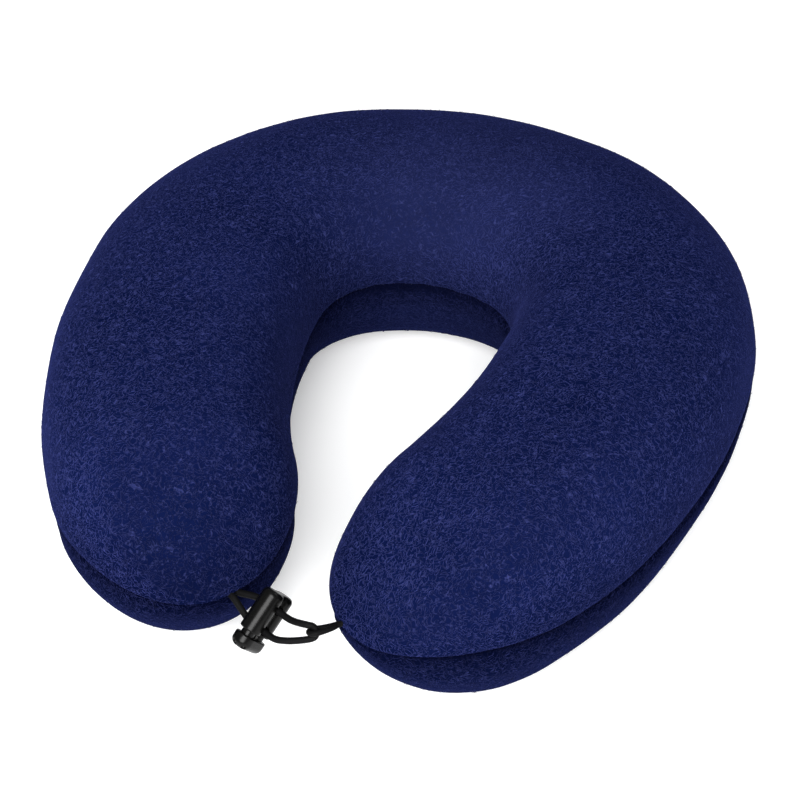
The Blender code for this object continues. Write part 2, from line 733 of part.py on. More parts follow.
def main():
    for old in list(bpy.data.objects):
        bpy.data.objects.remove(old, do_unlink=True)
    looks = make_materials()
    covers = make_soft_parts(looks)
    make_zip(looks)
    make_cords(covers, looks)
    make_cord_lock(looks)


main()
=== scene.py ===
# %% [markdown]
# # A U-shaped travel neck pillow
#
# The real pillow is a moulded foam core in a liner, inside a zipped cover of navy short-pile velour.
# Two braided cords come out of the seam at the tips, and a two-hole cord lock slides on the left one.
#
# This script dresses the imported CAD model. The frame gives every body, node and joint in metres, so each
# piece below is made where the CAD has it. The order is: frame, camera and light, cords, then the shape
# of the soft pieces, the zip, the stitching and the cord lock.

# %% Load the frame
import math

import bmesh
import bpy
import numpy as np
from mathutils import Matrix, Vector


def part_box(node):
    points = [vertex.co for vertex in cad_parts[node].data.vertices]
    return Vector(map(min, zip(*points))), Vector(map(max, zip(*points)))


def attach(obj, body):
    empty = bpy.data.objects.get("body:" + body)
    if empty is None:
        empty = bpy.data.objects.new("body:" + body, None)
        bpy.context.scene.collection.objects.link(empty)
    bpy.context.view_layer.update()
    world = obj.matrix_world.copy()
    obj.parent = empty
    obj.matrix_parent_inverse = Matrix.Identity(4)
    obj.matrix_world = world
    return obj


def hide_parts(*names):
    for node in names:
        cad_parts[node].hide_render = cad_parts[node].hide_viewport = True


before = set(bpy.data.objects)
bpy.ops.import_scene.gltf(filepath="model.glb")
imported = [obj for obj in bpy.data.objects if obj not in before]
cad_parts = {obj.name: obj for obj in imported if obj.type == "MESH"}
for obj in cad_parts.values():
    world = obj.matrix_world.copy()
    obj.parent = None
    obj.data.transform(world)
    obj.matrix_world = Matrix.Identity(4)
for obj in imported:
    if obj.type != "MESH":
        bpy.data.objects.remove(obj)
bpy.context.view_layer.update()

# %% [markdown]
# ## Camera
#
# A product picture of a low, wide object is usually taken with a long lens from above the front edge. We
# set the camera by the direction it looks from (azimuth and elevation), its distance and the point that
# it looks at. Building the rotation from three axes keeps the small roll explicit.

# %% Camera
CAMERA_AZIMUTH = math.radians(17.9)
CAMERA_ELEVATION = math.radians(41.0)
CAMERA_ROLL = math.radians(-0.6)
CAMERA_DISTANCE = 0.9633
CAMERA_TARGET = Vector((0.0046, -0.0154, 0.0450))
CAMERA_LENS_MM = 108.7


def make_camera():
    side, rise = CAMERA_AZIMUTH, CAMERA_ELEVATION
    back = Vector((math.sin(side) * math.cos(rise), -math.cos(side) * math.cos(rise), math.sin(rise)))
    right = Vector((math.cos(side), math.sin(side), 0))
    up = back.cross(right)
    right, up = (
        right * math.cos(CAMERA_ROLL) + up * math.sin(CAMERA_ROLL),
        up * math.cos(CAMERA_ROLL) - right * math.sin(CAMERA_ROLL),
    )
    data = bpy.data.cameras.new("camera")
    data.lens = CAMERA_LENS_MM
    data.sensor_width = 36
    made = bpy.data.objects.new("camera", data)
    bpy.context.scene.collection.objects.link(made)
    made.matrix_world = Matrix.Translation(CAMERA_TARGET + back * CAMERA_DISTANCE) @ (
        Matrix((right, up, back)).transposed().to_4x4()
    )
    bpy.context.scene.camera = made
    return made


camera = make_camera()
print("camera at", [round(c, 3) for c in camera.location])

# %% [markdown]
# ## Floor and light
#
# Dark velour needs one large soft light. It stands behind the camera and a little to its left, so it fills
# the nap without hard spots and leaves the inside of the neck opening dark. A weak light at the back keeps
# the far rim readable, a weak one overhead lifts the top, and an even world stands for the room.

# %% Floor and light
STUDIO = (
    # name, place, size, power in watts
    ("key", (0.15, -1.28, 1.00), 1.10, 54.0),
    ("rim", (0.75, 0.75, 0.80), 0.60, 3.0),
    ("top", (0.05, -0.10, 1.70), 1.40, 2.5),
)
WORLD_STRENGTH = 0.40
FLOOR_GLOW = 0.25
FLOOR_SIZE = 8.0
FLOOR_COLOUR = (0.93, 0.93, 0.93)


def make_light(name, place, size, power):
    data = bpy.data.lights.new(name, "AREA")
    data.shape = "DISK"
    data.size = size
    data.energy = power
    made = bpy.data.objects.new(name, data)
    bpy.context.scene.collection.objects.link(made)
    made.location = place
    made.rotation_euler = (CAMERA_TARGET - Vector(place)).to_track_quat("-Z", "Y").to_euler()
    return made


def make_world():
    world = bpy.data.worlds.new("studio")
    world.use_nodes = True
    background = world.node_tree.nodes["Background"]
    background.inputs["Color"].default_value = (0.95, 0.97, 1.0, 1)
    background.inputs["Strength"].default_value = WORLD_STRENGTH
    bpy.context.scene.world = world


def link_mesh(name, points, faces, look=None, smooth_angle=40):
    """A mesh object at the origin, with its place in its points."""
    mesh = bpy.data.meshes.new(name)
    mesh.from_pydata([tuple(point) for point in points], [], faces)
    mesh.update()
    made = bpy.data.objects.new(name, mesh)
    bpy.context.scene.collection.objects.link(made)
    if look:
        mesh.materials.append(look)
    mesh.shade_smooth()
    mesh.set_sharp_from_angle(angle=math.radians(smooth_angle))
    return made


for light in STUDIO:
    make_light(*light)
make_world()
half_floor = FLOOR_SIZE / 2
floor = link_mesh(
    "floor",
    [(x * half_floor, y * half_floor, 0) for x, y in ((-1, -1), (1, -1), (1, 1), (-1, 1))],
    [(0, 1, 2, 3)],
)
bpy.context.scene.view_settings.view_transform = "Standard"
print("lights:", [name for name, *_ in STUDIO])

# %% [markdown]
# ## Making materials
#
# Every finish below is a small node tree. Writing `tree.nodes.new` and `tree.links.new` for each node
# hides the idea under plumbing, so helpers do it: `node` adds one node and wires its inputs, `maths` does
# a sum on two values, and `blend_colours` mixes two colours by a mask. The next cell's helpers name the
# patterns and ramps that most finishes share, and `finish_shader` wires the result to the shader.

# %% Helpers for node trees
def node(tree, kind, inputs=None, **settings):
    """Adds a node. Each input is a value or another node's output socket."""
    made = tree.nodes.new(kind)
    for name, value in settings.items():
        setattr(made, name, value)
    for name, value in (inputs or {}).items():
        if isinstance(value, bpy.types.NodeSocket):
            tree.links.new(value, made.inputs[name])
        else:
            made.inputs[name].default_value = value
    return made


def maths(tree, operation, first, second=0.0, clamp=False):
    made = node(tree, "ShaderNodeMath", {0: first, 1: second}, operation=operation, use_clamp=clamp)
    return made.outputs[0]


def blend_colours(tree, mask, low, high):
    made = node(tree, "ShaderNodeMix", data_type="RGBA")
    for socket, value in ((made.inputs[0], mask), (made.inputs[6], low), (made.inputs[7], high)):
        if isinstance(value, bpy.types.NodeSocket):
            tree.links.new(value, socket)
        elif isinstance(value, (int, float)):
            socket.default_value = value
        else:
            socket.default_value = (*value, 1)
    return made.outputs[2]


# %% Helpers for patterns and finishes
def noise(tree, place, scale, detail=2.0, roughness=0.5):
    made = node(
        tree, "ShaderNodeTexNoise",
        {"Vector": place, "Scale": scale, "Detail": detail, "Roughness": roughness},
    )
    return made.outputs["Fac"]


def ramp(tree, value, low, high, clamp=True):
    """Turns low..high into 0..1."""
    made = node(tree, "ShaderNodeMapRange", {"Value": value, "From Min": low, "From Max": high})
    made.clamp = clamp
    return made.outputs[0]


def ramp_between(tree, value, low, high):
    """Turns 0..1 into low..high."""
    made = node(tree, "ShaderNodeMapRange", {"Value": value, "To Min": low, "To Max": high})
    return made.outputs[0]


def new_material(name, roughness, metallic=0.0):
    made = bpy.data.materials.new(name)
    made.use_nodes = True
    shader = made.node_tree.nodes["Principled BSDF"]
    shader.inputs["Roughness"].default_value = roughness
    shader.inputs["Metallic"].default_value = metallic
    return made, made.node_tree, shader


def object_place(tree):
    return node(tree, "ShaderNodeTexCoord").outputs["Object"]


def shifted(tree, place, offset):
    step = (offset, -offset, 2 * offset)
    return node(tree, "ShaderNodeVectorMath", {0: place, 1: step}, operation="ADD").outputs[0]


def finish_shader(tree, shader, colour=None, roughness=None, height=None, depth=0.0001, strength=1.0):
    if colour is not None:
        tree.links.new(colour, shader.inputs["Base Color"])
    if roughness is not None:
        tree.links.new(roughness, shader.inputs["Roughness"])
    if height is not None:
        bump = node(tree, "ShaderNodeBump", {"Height": height, "Distance": depth, "Strength": strength})
        tree.links.new(bump.outputs[0], shader.inputs["Normal"])


# %% [markdown]
# ## Floor finish
#
# The floor is an opal light table, which is how catalogue pictures lose the shadow: it glows a little
# from below. Even a plain board isn't one flat value, so it has a faint mottling.

# %% Floor finish
def floor_material():
    made, tree, shader = new_material("pale_floor", 0.6)
    place = object_place(tree)
    mottle = noise(tree, place, 3.0, 3.0)
    low = tuple(c - 0.01 for c in FLOOR_COLOUR)
    finish_shader(tree, shader, blend_colours(tree, mottle, low, FLOOR_COLOUR))
    shader.inputs["Emission Color"].default_value = (1, 1, 1, 1)
    shader.inputs["Emission Strength"].default_value = FLOOR_GLOW
    return made


floor.data.materials.append(floor_material())
print("floor", FLOOR_SIZE, "m wide")

# %% [markdown]
# ## The cords
#
# The left cord leaves the seam, runs through the cord lock, turns round the right cord's loop and comes
# back. The right cord is a short loop. Both are fine braided cords with two ends sewn into the seam. The
# route's points are the CAD's own, and a smooth curve runs through them.
#
# A cord this fine could be a plain tube with a bump map, but from near by a braid shows as real bumps.
# Eight strands wind each way and pass over and under one another like a basket, so the tube's radius
# can follow that rule: in each diamond of the braid one strand is on top, rounded across its width.

# %% Cord routes
LEFT_CORD = 0.0026
RIGHT_CORD = 0.0022
LEFT_ROUTE = [
    (-19.9, -136.8, 48.8), (-17.6, -138.4, 48.9), (-12.8, -139.1, 49.6), (-8.1, -140.1, 49.9),
    (-4.0, -142.2, 49.7), (3.2, -145.7, 49.4), (6.5, -147.1, 49.9), (9.5, -148.2, 50.9),
    (12.2, -148.7, 51.4), (14.1, -148.4, 50.9), (15.4, -148.8, 49.4), (15.2, -149.8, 47.6),
    (13.6, -150.7, 46.7), (9.9, -151.6, 45.7), (5.0, -152.4, 44.8), (-0.1, -151.8, 43.9),
    (-7.3, -148.3, 44.2), (-11.4, -146.2, 44.4), (-15.4, -143.7, 46.7), (-19.0, -141.2, 48.6),
    (-21.7, -139.2, 48.8),
]
RIGHT_ROUTE = [
    (23.9, -142.0, 49.6), (21.9, -143.9, 49.7), (20.6, -146.3, 50.1), (18.4, -149.0, 50.5),
    (16.0, -151.1, 50.6), (14.1, -151.0, 49.9), (12.9, -149.7, 49.0), (13.2, -147.8, 48.3),
    (14.8, -146.5, 48.2), (17.4, -145.4, 48.5), (19.9, -143.7, 48.5), (21.5, -141.9, 48.1),
    (23.3, -140.2, 48.0),
]


def lengths(points):
    return np.concatenate([[0], np.cumsum(np.linalg.norm(np.diff(points, axis=0), axis=1))])


def smooth_route(route, spacing):
    """Evenly spaced points, in metres, on a smooth curve through the route's own points."""
    own = np.array(route) / 1000
    ends = [2 * own[0] - own[1], *own, 2 * own[-1] - own[-2]]
    fine = []
    for before, start, end, after in zip(ends, ends[1:], ends[2:], ends[3:]):
        share = np.linspace(0, 1, 24, endpoint=False)[:, None]
        fine.append(0.5 * (
            2 * start
            + (end - before) * share
            + (2 * before - 5 * start + 4 * end - after) * share**2
            + (3 * start - before - 3 * end + after) * share**3
        ))
    fine = np.concatenate([*fine, own[-1:]])
    along = lengths(fine)
    stops = np.linspace(0, along[-1], round(along[-1] / spacing) + 1)
    return np.stack([np.interp(stops, along, fine[:, i]) for i in range(3)], axis=1)


left_line = smooth_route(LEFT_ROUTE, 0.00012)
right_line = smooth_route(RIGHT_ROUTE, 0.00012)
print("left cord", round(1000 * lengths(left_line)[-1], 1), "mm;",
      "right cord", round(1000 * lengths(right_line)[-1], 1), "mm")

# %% Braided tubes
BRAID_STRANDS = 8
BRAID_SIDES = 64
BRAID_STEP = 0.00046
BRAID_RELIEF = 0.00017
CORD_BLACK = (0.0014, 0.0014, 0.0016)


def frames_along(line):
    """Two directions across a line at each point, which turn no more than the line does."""
    way = np.gradient(line, axis=0)
    way /= np.linalg.norm(way, axis=1)[:, None]
    first = np.cross(way[0], (0, 0, 1))
    first /= np.linalg.norm(first)
    firsts = [first]
    for direction in way[1:]:
        first = firsts[-1] - direction * np.dot(firsts[-1], direction)
        firsts.append(first / np.linalg.norm(first))
    firsts = np.array(firsts)
    return firsts, np.cross(way, firsts)


def braid_relief(along, around):
    """Height of the braid's surface, 0 in the gaps to 1 on the strands."""
    first = BRAID_STRANDS * around + along / BRAID_STEP
    second = BRAID_STRANDS * around - along / BRAID_STEP
    over = (np.floor(first) + np.floor(second)) % 2 == 0
    u, v = first % 1 - 0.5, second % 1 - 0.5
    across, lengthwise = np.where(over, u, v), np.where(over, v, u)
    return np.sqrt(np.clip(1 - (1.9 * across) ** 2, 0, 1)) * (1 - 0.8 * lengthwise**2)


def tube_faces(rows, sides):
    """Faces round a tube, with a flat end on its first ring and its last."""
    index = np.arange(rows * sides).reshape(rows, sides)
    beside = np.roll(index, -1, axis=1)
    around = np.stack([index[:-1], beside[:-1], beside[1:], index[1:]], axis=-1)
    return around.reshape(-1, 4).tolist() + [index[0, ::-1].tolist(), index[-1].tolist()]


def braided_tube(name, line, diameter, look):
    along = lengths(line)
    turns = np.arange(BRAID_SIDES) / BRAID_SIDES
    relief = braid_relief(along[:, None] / 2, turns[None, :])
    radius = diameter / 2 - BRAID_RELIEF * (1 - relief)
    first, second = frames_along(line)
    cos, sin = np.cos(2 * np.pi * turns), np.sin(2 * np.pi * turns)
    ring = first[:, None] * cos[None, :, None] + second[:, None] * sin[None, :, None]
    points = (line[:, None] + radius[:, :, None] * ring).reshape(-1, 3)
    return link_mesh(name, points, tube_faces(len(line), BRAID_SIDES), look, 180)


def cord_material():
    made, tree, shader = new_material("braided_cord", 0.62)
    place = object_place(tree)
    fluff = noise(tree, place, 2600, 3.0)
    pale = tuple(2.6 * c for c in CORD_BLACK)
    colour = blend_colours(tree, ramp(tree, fluff, 0.45, 0.75), CORD_BLACK, pale)
    shader.inputs["Specular IOR Level"].default_value = 0.07
    finish_shader(tree, shader, colour, None, fluff, 0.00006)
    return made


looks = {"cord": cord_material()}
left_cord = braided_tube("left_braid", left_line, LEFT_CORD, looks["cord"])
right_cord = braided_tube("right_braid", right_line, RIGHT_CORD, looks["cord"])
print("braided faces:", len(left_cord.data.polygons), "and", len(right_cord.data.polygons))

# %% [markdown]
# ## The pillow's shape
#
# Cover, liner and foam share one shape, swept along a centre line that bends round the neck: an arc at
# the back, a curve to the widest place and a curve to the tip, which rounds off. The cross-section is a
# squarish oval above the seam and a rounder one below it, pressed flat where it rests.
#
# A sculpted or simulated mesh would also look soft, but this foam is moulded, so a rule gives exactly
# its smooth, full form, and every layer can be asked for at its own depth below the pile.

# %% Sizes of the shape
BACK_RADIUS = 0.1002
BACK_HALF_ANGLE = math.radians(26)
BACK_LEAD = 0.0192
SIDE_OUT, SIDE_FORWARD = 0.0888, 0.0867
SIDE_LEAD_BACK, SIDE_LEAD_FRONT = 0.0431, 0.0294
TIP_OUT, TIP_FORWARD = 0.0606, 0.1958
TIP_TURN = math.radians(31.7)
TIP_LEAD, TIP_ROUND = 0.0413, 0.0623
BACK_Y = 0.1019
HALF_WIDTH, HALF_WIDTH_GAIN, HALF_WIDTH_TAPER = 0.0495, 0.0010, 0.0036
NECK_WAVES = (-0.00114, 0.00018, 0.00030)
TOP_HEIGHT, TOP_HEIGHT_GAIN, TOP_HEIGHT_TAPER = 0.0415, 0.0208, 0.0205
TOP_LEAN, TOP_LEAN_GAIN = -0.0065, 0.0092
FULLNESS = {1: 2.63, -1: 1.97}
TIP_DOME = 0.65
SEAM_HEIGHT = 0.0488
PRESSED_FLAT = 0.0018
TIP_ROWS = 64
TALL_ENOUGH = 0.030


def bezier(start, handle, second_handle, end, steps):
    share = np.linspace(0, 1, steps + 1)[:, None]
    rest = 1 - share
    return (rest**3 * start + 3 * rest**2 * share * handle
            + 3 * rest * share**2 * second_handle + share**3 * end)


def centre_line():
    """The right half's centre line, from the back to where the tip rounds off."""
    side = np.array([SIDE_OUT, -SIDE_FORWARD])
    tip = np.array([TIP_OUT, -TIP_FORWARD])
    turned = np.linspace(0, BACK_HALF_ANGLE, 120)
    arc = BACK_RADIUS * np.stack([np.sin(turned), np.cos(turned) - 1], axis=1)
    arc_way = np.array([math.cos(BACK_HALF_ANGLE), -math.sin(BACK_HALF_ANGLE)])
    tip_way = np.array([-math.sin(TIP_TURN), -math.cos(TIP_TURN)])
    shoulder = bezier(arc[-1], arc[-1] + arc_way * BACK_LEAD, side + [0, SIDE_LEAD_BACK], side, 200)
    arm = bezier(side, side - [0, SIDE_LEAD_FRONT], tip - tip_way * TIP_LEAD, tip, 200)
    return np.concatenate([arc, shoulder[1:], arm[1:]]), tip_way


# %% Places along the pillow
class Stations:
    """Places from the left tip to the right, for a layer at one depth below the pile."""

    def __init__(self, depth, row_length):
        line, tip_way = centre_line()
        along = lengths(line)
        arm_length = along[-1]
        stops = np.linspace(0, arm_length, round(arm_length / row_length) + 1)
        angles = np.linspace(0, np.pi / 2, TIP_ROWS + 1)[1:]
        over = (TIP_ROUND - depth) * np.sin(angles)
        core = np.stack([np.interp(stops, along, line[:, i]) for i in (0, 1)], axis=1)
        way = np.stack(
            [np.interp(stops, along, np.gradient(line[:, i], along)) for i in (0, 1)], axis=1
        )
        core = np.concatenate([core, np.tile(core[-1], (len(over), 1))])
        way = np.concatenate([way, np.tile(tip_way, (len(over), 1))])
        way /= np.linalg.norm(way, axis=1)[:, None]
        place = core + way * np.concatenate([np.zeros(len(stops)), over])[:, None]
        share = np.concatenate([stops, arm_length + over]) / arm_length
        taper = np.concatenate([np.ones(len(stops)), np.cos(angles)])
        taper[-1] = 0
        out = np.stack([-way[:, 1], way[:, 0]], axis=1)
        flip = np.array([-1, 1])
        self.core = np.concatenate([core[:0:-1] * flip, core]) + [0, BACK_Y]
        self.place = np.concatenate([place[:0:-1] * flip, place]) + [0, BACK_Y]
        self.out = np.concatenate([out[:0:-1] * flip, out])
        self.share = np.concatenate([share[:0:-1], share])
        self.taper = np.concatenate([taper[:0:-1], taper])
        self.depth = depth
        self.middle = len(place) - 1
        self.turn = np.arctan2(self.place[:, 0], self.place[:, 1] - BACK_Y + BACK_RADIUS)

    def widths(self):
        wide = HALF_WIDTH + HALF_WIDTH_GAIN * self.share**2 - HALF_WIDTH_TAPER * self.share**4
        outer = (wide - self.depth) * self.taper
        capped = np.minimum(self.share, 1)
        waves = sum(
            size * np.sin((turn + 1) * math.pi * capped) for turn, size in enumerate(NECK_WAVES)
        )
        return outer, outer + waves * self.taper

    def height(self, half):
        dome = self.taper ** (2 * TIP_DOME)
        if half > 0:
            gain = TOP_HEIGHT_GAIN * self.share**2 - TOP_HEIGHT_TAPER * self.share**4
            return (TOP_HEIGHT + gain - self.depth) * dome
        return (SEAM_HEIGHT + PRESSED_FLAT - self.depth) * dome

    def angle_at(self, half, rise):
        """The section's angle where the skin is this far from the seam's level."""
        height = np.maximum(self.height(half), 1e-9)
        shrunk = np.asarray(rise) * np.minimum(1, height / TALL_ENOUGH)
        return np.arcsin(np.clip((shrunk / height) ** (FULLNESS[half] / 2), 0, 0.9))

    def skin(self, half, angles):
        """Points of the surface: a row for each station, a column for each angle."""
        power = 2 / FULLNESS[half]
        cos, sin = np.cos(angles), np.sin(angles)
        outer, inner = self.widths()
        reach = np.where(cos >= 0, outer[:, None], inner[:, None])
        reach = reach * np.sign(cos) * np.abs(cos) ** power
        if half > 0:
            lean = (TOP_LEAN + TOP_LEAN_GAIN * self.share**2) * self.taper
            reach = reach + lean[:, None] * sin**2
        z = SEAM_HEIGHT + half * self.height(half)[:, None] * np.abs(sin) ** power
        flat = self.place[:, None] + self.out[:, None] * reach[:, :, None]
        return np.concatenate([flat, np.maximum(z, self.depth)[:, :, None]], axis=2)


shape = Stations(0, 0.0017)
print("rows along the pillow:", len(shape.share))

# %% [markdown]
# ## The cover's two panels
#
# The seam is sewn inside out and turned, so on the finished pillow it lies in a groove: each panel rolls
# over just before it, and puckers a little along it. Behind the neck the seam opens into the zip's slot,
# with folded lips and a row of topstitching, and at the tips it parts round the cords.
#
# The groove could be painted as a dark line, but then it has no depth in a side light. Here the skin is
# pulled in towards the core as it nears its own edge, on a grid that is finest there.

# %% Sizes of the cover
COVER_THICKNESS = 0.0012
ZIP_OPENING = 0.0080
ZIP_FULL_TURN = math.radians(21.9)
GROOVE_DEPTH, GROOVE_WIDTH = 0.0019, 0.0013
TIP_GROOVE_GAIN = 0.0012
TIP_UNDERCUT, TIP_UNDERCUT_WIDTH = 0.0022, 0.0100
LIP_SWELL, LIP_SWELL_AT, LIP_SWELL_WIDTH = 0.0004, 0.0060, 0.0036
SLOT_ROLL, SLOT_ROLL_WIDTH = 0.0005, 0.0008
TOPSTITCH_AT, TOPSTITCH_DENT, TOPSTITCH_WIDTH = 0.0033, 0.00045, 0.0008
PUCKER_LENGTH = 0.011
EDGE_RISES = np.array([0, 0.25, 0.6, 1.0, 1.5, 2.0, 2.6, 3.3, 4.1, 5.2, 6.6, 8.4, 10.5]) / 1000
TOPSTITCH_COLUMN = 7
SECTION_STEPS = 40
CORD_EXITS = {-1: 0.0194, 1: 0.0223}
EYE_HALF_HEIGHT = {-1: 0.0015, 1: 0.0013}
EYE_HALF_LENGTH = 0.0036
SEAM_GAP = 0.0001
RESTS_BELOW = 0.004
print("zip slot:", round(1000 * ZIP_OPENING, 1), "mm high; cord exits at", list(CORD_EXITS.values()))


# %% Where the seam opens
def smoothstep(value, low, high):
    share = np.clip((value - low) / (high - low), 0, 1)
    return share * share * (3 - 2 * share)


def neck_side_line(stations):
    """The seam's line on the neck side, and how far along it each station is."""
    line = stations.skin(1, np.full((len(stations.share), 1), math.pi))[:, 0]
    return line, lengths(line)


def zip_slot(stations):
    """Half the slot's height on the outer side."""
    return ZIP_OPENING / 2 * (1 - smoothstep(np.abs(stations.turn), ZIP_FULL_TURN, BACK_HALF_ANGLE))


def cord_eyes(stations):
    """Half the height of the two openings for the cords, on the neck side."""
    line, along = neck_side_line(stations)
    eyes = np.zeros(len(line))
    for side, across in CORD_EXITS.items():
        half = np.flatnonzero(np.sign(line[:, 0]) == side)
        half = half[np.abs(half - stations.middle) > stations.middle - 1.5 * TIP_ROWS]
        narrowest = half[np.argmin(np.abs(line[half, 0]))]
        beyond = half[(half - narrowest) * side >= 0]
        exit_row = beyond[np.argmin(np.abs(np.abs(line[beyond, 0]) - across))]
        away = (along - along[exit_row]) / EYE_HALF_LENGTH
        eyes += EYE_HALF_HEIGHT[side] * np.exp(-(away**4))
    return eyes


# %% Unevenness and rolled edges
def waviness(points, size, wavelength, seed):
    """A sum of slow waves through space, for a skin that isn't perfectly even."""
    random = np.random.default_rng(seed)
    total = np.zeros(points.shape[:-1])
    for _ in range(6):
        way = random.normal(size=3)
        way *= 2 * math.pi / wavelength / np.linalg.norm(way) * random.uniform(0.6, 1.5)
        total += np.sin(points @ way + random.uniform(0, 2 * math.pi))
    return total * size / 2.5


def rolled_edge(points, stations, columns, from_edge, slot, along, half, undercut_from):
    """Pulls a panel's edge columns in towards the core: a groove, or the slot's folded lip."""
    zipped = (slot / (ZIP_OPENING / 2))[:, None]
    phase = 2 * math.pi * along / PUCKER_LENGTH
    pucker = 1 + 0.10 * np.sin(phase + 3 * np.sin(along / 0.031) + half)
    at_tip = smoothstep(stations.share, 0.75, 1.10)[:, None]
    deep = (GROOVE_DEPTH + TIP_GROOVE_GAIN * at_tip) * pucker[:, None]
    groove = deep * np.exp(-((from_edge / GROOVE_WIDTH) ** 2))
    if half < 0:
        under = smoothstep(stations.share, undercut_from, undercut_from + 0.45)[:, None]
        groove = groove + TIP_UNDERCUT * under * np.exp(-((from_edge / TIP_UNDERCUT_WIDTH) ** 2))
    swell = LIP_SWELL * np.exp(-(((from_edge - LIP_SWELL_AT) / LIP_SWELL_WIDTH) ** 2))
    roll = SLOT_ROLL * np.exp(-((from_edge / SLOT_ROLL_WIDTH) ** 2))
    dent = TOPSTITCH_DENT * np.exp(-(((from_edge - TOPSTITCH_AT) / TOPSTITCH_WIDTH) ** 2))
    pull = (1 - zipped) * (groove - swell) + zipped * (roll + dent)
    pull = pull * np.minimum(1, 4 * stations.taper)[:, None]
    outward = points[:, columns, :2] - stations.core[:, None]
    outward /= np.maximum(np.linalg.norm(outward, axis=2), 1e-6)[:, :, None]
    points[:, columns, :2] -= outward * pull[:, :, None]


# %% A panel as a grid of points
def panel_grid(half, depth, row_length=0.0017, slotted=True, steps=SECTION_STEPS):
    """One half's surface at a depth, as rows of points from the outer edge to the neck side."""
    stations = Stations(depth, row_length)
    count = len(stations.share)
    slot = zip_slot(stations) if slotted else np.zeros(count)
    eyes = cord_eyes(stations) if slotted else np.zeros(count)
    outer = np.stack([stations.angle_at(half, slot + rise) for rise in EDGE_RISES], axis=1)
    inner = math.pi - np.stack([stations.angle_at(half, eyes + rise) for rise in EDGE_RISES], axis=1)
    share = np.linspace(0, 1, steps + 1)[1:-1]
    between = outer[:, -1:] + (inner[:, -1:] - outer[:, -1:]) * share
    points = stations.skin(half, np.concatenate([outer, between, inner[:, ::-1]], axis=1))
    edge = len(EDGE_RISES)
    _, along = neck_side_line(stations)
    rises = np.tile(EDGE_RISES, (count, 1))
    rolled_edge(points, stations, slice(0, edge), rises, slot, 1.4 * along, half, 0.70)
    none = np.zeros(count)
    rolled_edge(points, stations, slice(-edge, None), rises[:, ::-1], none, along, half, 0.15)
    middle = np.concatenate([stations.core, np.full((count, 1), SEAM_HEIGHT)], axis=1)[:, None]
    outward = points - middle
    outward /= np.maximum(np.linalg.norm(outward, axis=2), 1e-6)[:, :, None]
    uneven = waviness(points, 0.00025, 0.070, 5) + waviness(points, 0.00006, 0.022, 8)
    free = smoothstep(points[:, :, 2], 0.0, RESTS_BELOW) if half < 0 else 1.0
    points += outward * (uneven * free)[:, :, None]
    points[:, :, 2] += half * SEAM_GAP / 2
    if half < 0:
        points[:, :, 2] = np.maximum(points[:, :, 2], depth)
    return points


# %% Cover panels
def grid_faces(rows, columns, start=0, turned=False):
    index = start + np.arange(rows * columns).reshape(rows, columns)
    faces = [index[:-1, :-1], index[:-1, 1:], index[1:, 1:], index[1:, :-1]]
    if turned:
        faces.reverse()
    return np.stack(faces, axis=-1).reshape(-1, 4).tolist()


def make_shell(name, outside, inside, look):
    """A thin closed shell between two grids, joined along their long edges."""
    rows, columns, _ = outside.shape
    size = rows * columns
    faces = grid_faces(rows, columns) + grid_faces(rows, columns, size, True)
    row = np.arange(rows - 1)
    for column in (0, columns - 1):
        here = row * columns + column
        ahead = here + columns
        faces += np.stack([here, ahead, ahead + size, here + size], axis=1).tolist()
    points = np.concatenate([outside.reshape(-1, 3), inside.reshape(-1, 3)])
    made = link_mesh(name, points, faces, look, 180)
    clean(made)
    return made


def clean(made, distance=1e-6):
    """Merges doubled points, such as those at the tips, and turns every face outwards."""
    solid = bmesh.new()
    solid.from_mesh(made.data)
    bmesh.ops.remove_doubles(solid, verts=solid.verts, dist=distance)
    bmesh.ops.recalc_face_normals(solid, faces=solid.faces)
    solid.to_mesh(made.data)
    solid.free()


grids = {half: panel_grid(half, 0) for half in (1, -1)}
panels = {}
for half, word in ((1, "top"), (-1, "bottom")):
    inside = panel_grid(half, COVER_THICKNESS)
    panels[half] = make_shell(f"{word}_panel", grids[half], inside, None)
print("panel faces:", [len(panel.data.polygons) for panel in panels.values()])

# %% [markdown]
# ## Velour
#
# Velour is a knitted cloth with a short, dense, brushed pile. It has three looks at once: it is dark
# where we look straight into the pile, it glows at grazing angles, which is what sheen does, and its
# surface is covered in little curled fibres that catch the light.
#
# Real hair on so large a piece would be millions of strands, so the curls are a pattern. The places
# where a smooth noise crosses its middle value are thin wandering lines. Two such sets, broken up by
# a third noise, read as curled fibres. They lift the surface a little and are paler than its depth.
#
# Both panels are the same cloth, but their finishes differ here. The lower one is a darker copy with less
# sheen, as painted shade, and both have painted shade towards the seam. The top one has a painted pool of
# light on the slope behind the neck and painted shade over the back. These stand for light and shade that
# this studio's even light doesn't give by itself.

# %% Velour finish
NAVY_DEEP = (0.0012, 0.0030, 0.0200)
NAVY = (0.0036, 0.0068, 0.0390)
NAVY_PALE = (0.0320, 0.0390, 0.1350)
SHEEN = 0.12
SHEEN_TINT = (0.20, 0.25, 1.0, 1)
# painted shade near the seam: for the lower and the upper panel, the height where it starts and where it is
# darkest; SHADE is the dark colour that all painted shade blends towards
SEAM_SHADE_BELOW = (0.034, 0.0480)
SEAM_SHADE_ABOVE = (0.072, 0.0500)
SHADE = (0.0004, 0.0007, 0.0045)
# painted shade over the back: where it starts and ends along the pillow, and how dark it gets
BACK_SHADE_SPAN, BACK_SHADE_AMOUNT = (0.060, 0.125), 0.30
# a painted pool of light on the slope behind the neck: its middle, its reach and how strong it is
PAINTED_LIGHT_AT, PAINTED_LIGHT_REACH, PAINTED_LIGHT_LIFT = (0.0, 0.070, 0.085), (0.075, 0.020), 0.20
PILE_WARP_SCALE, PILE_WARP = 260.0, 0.0045
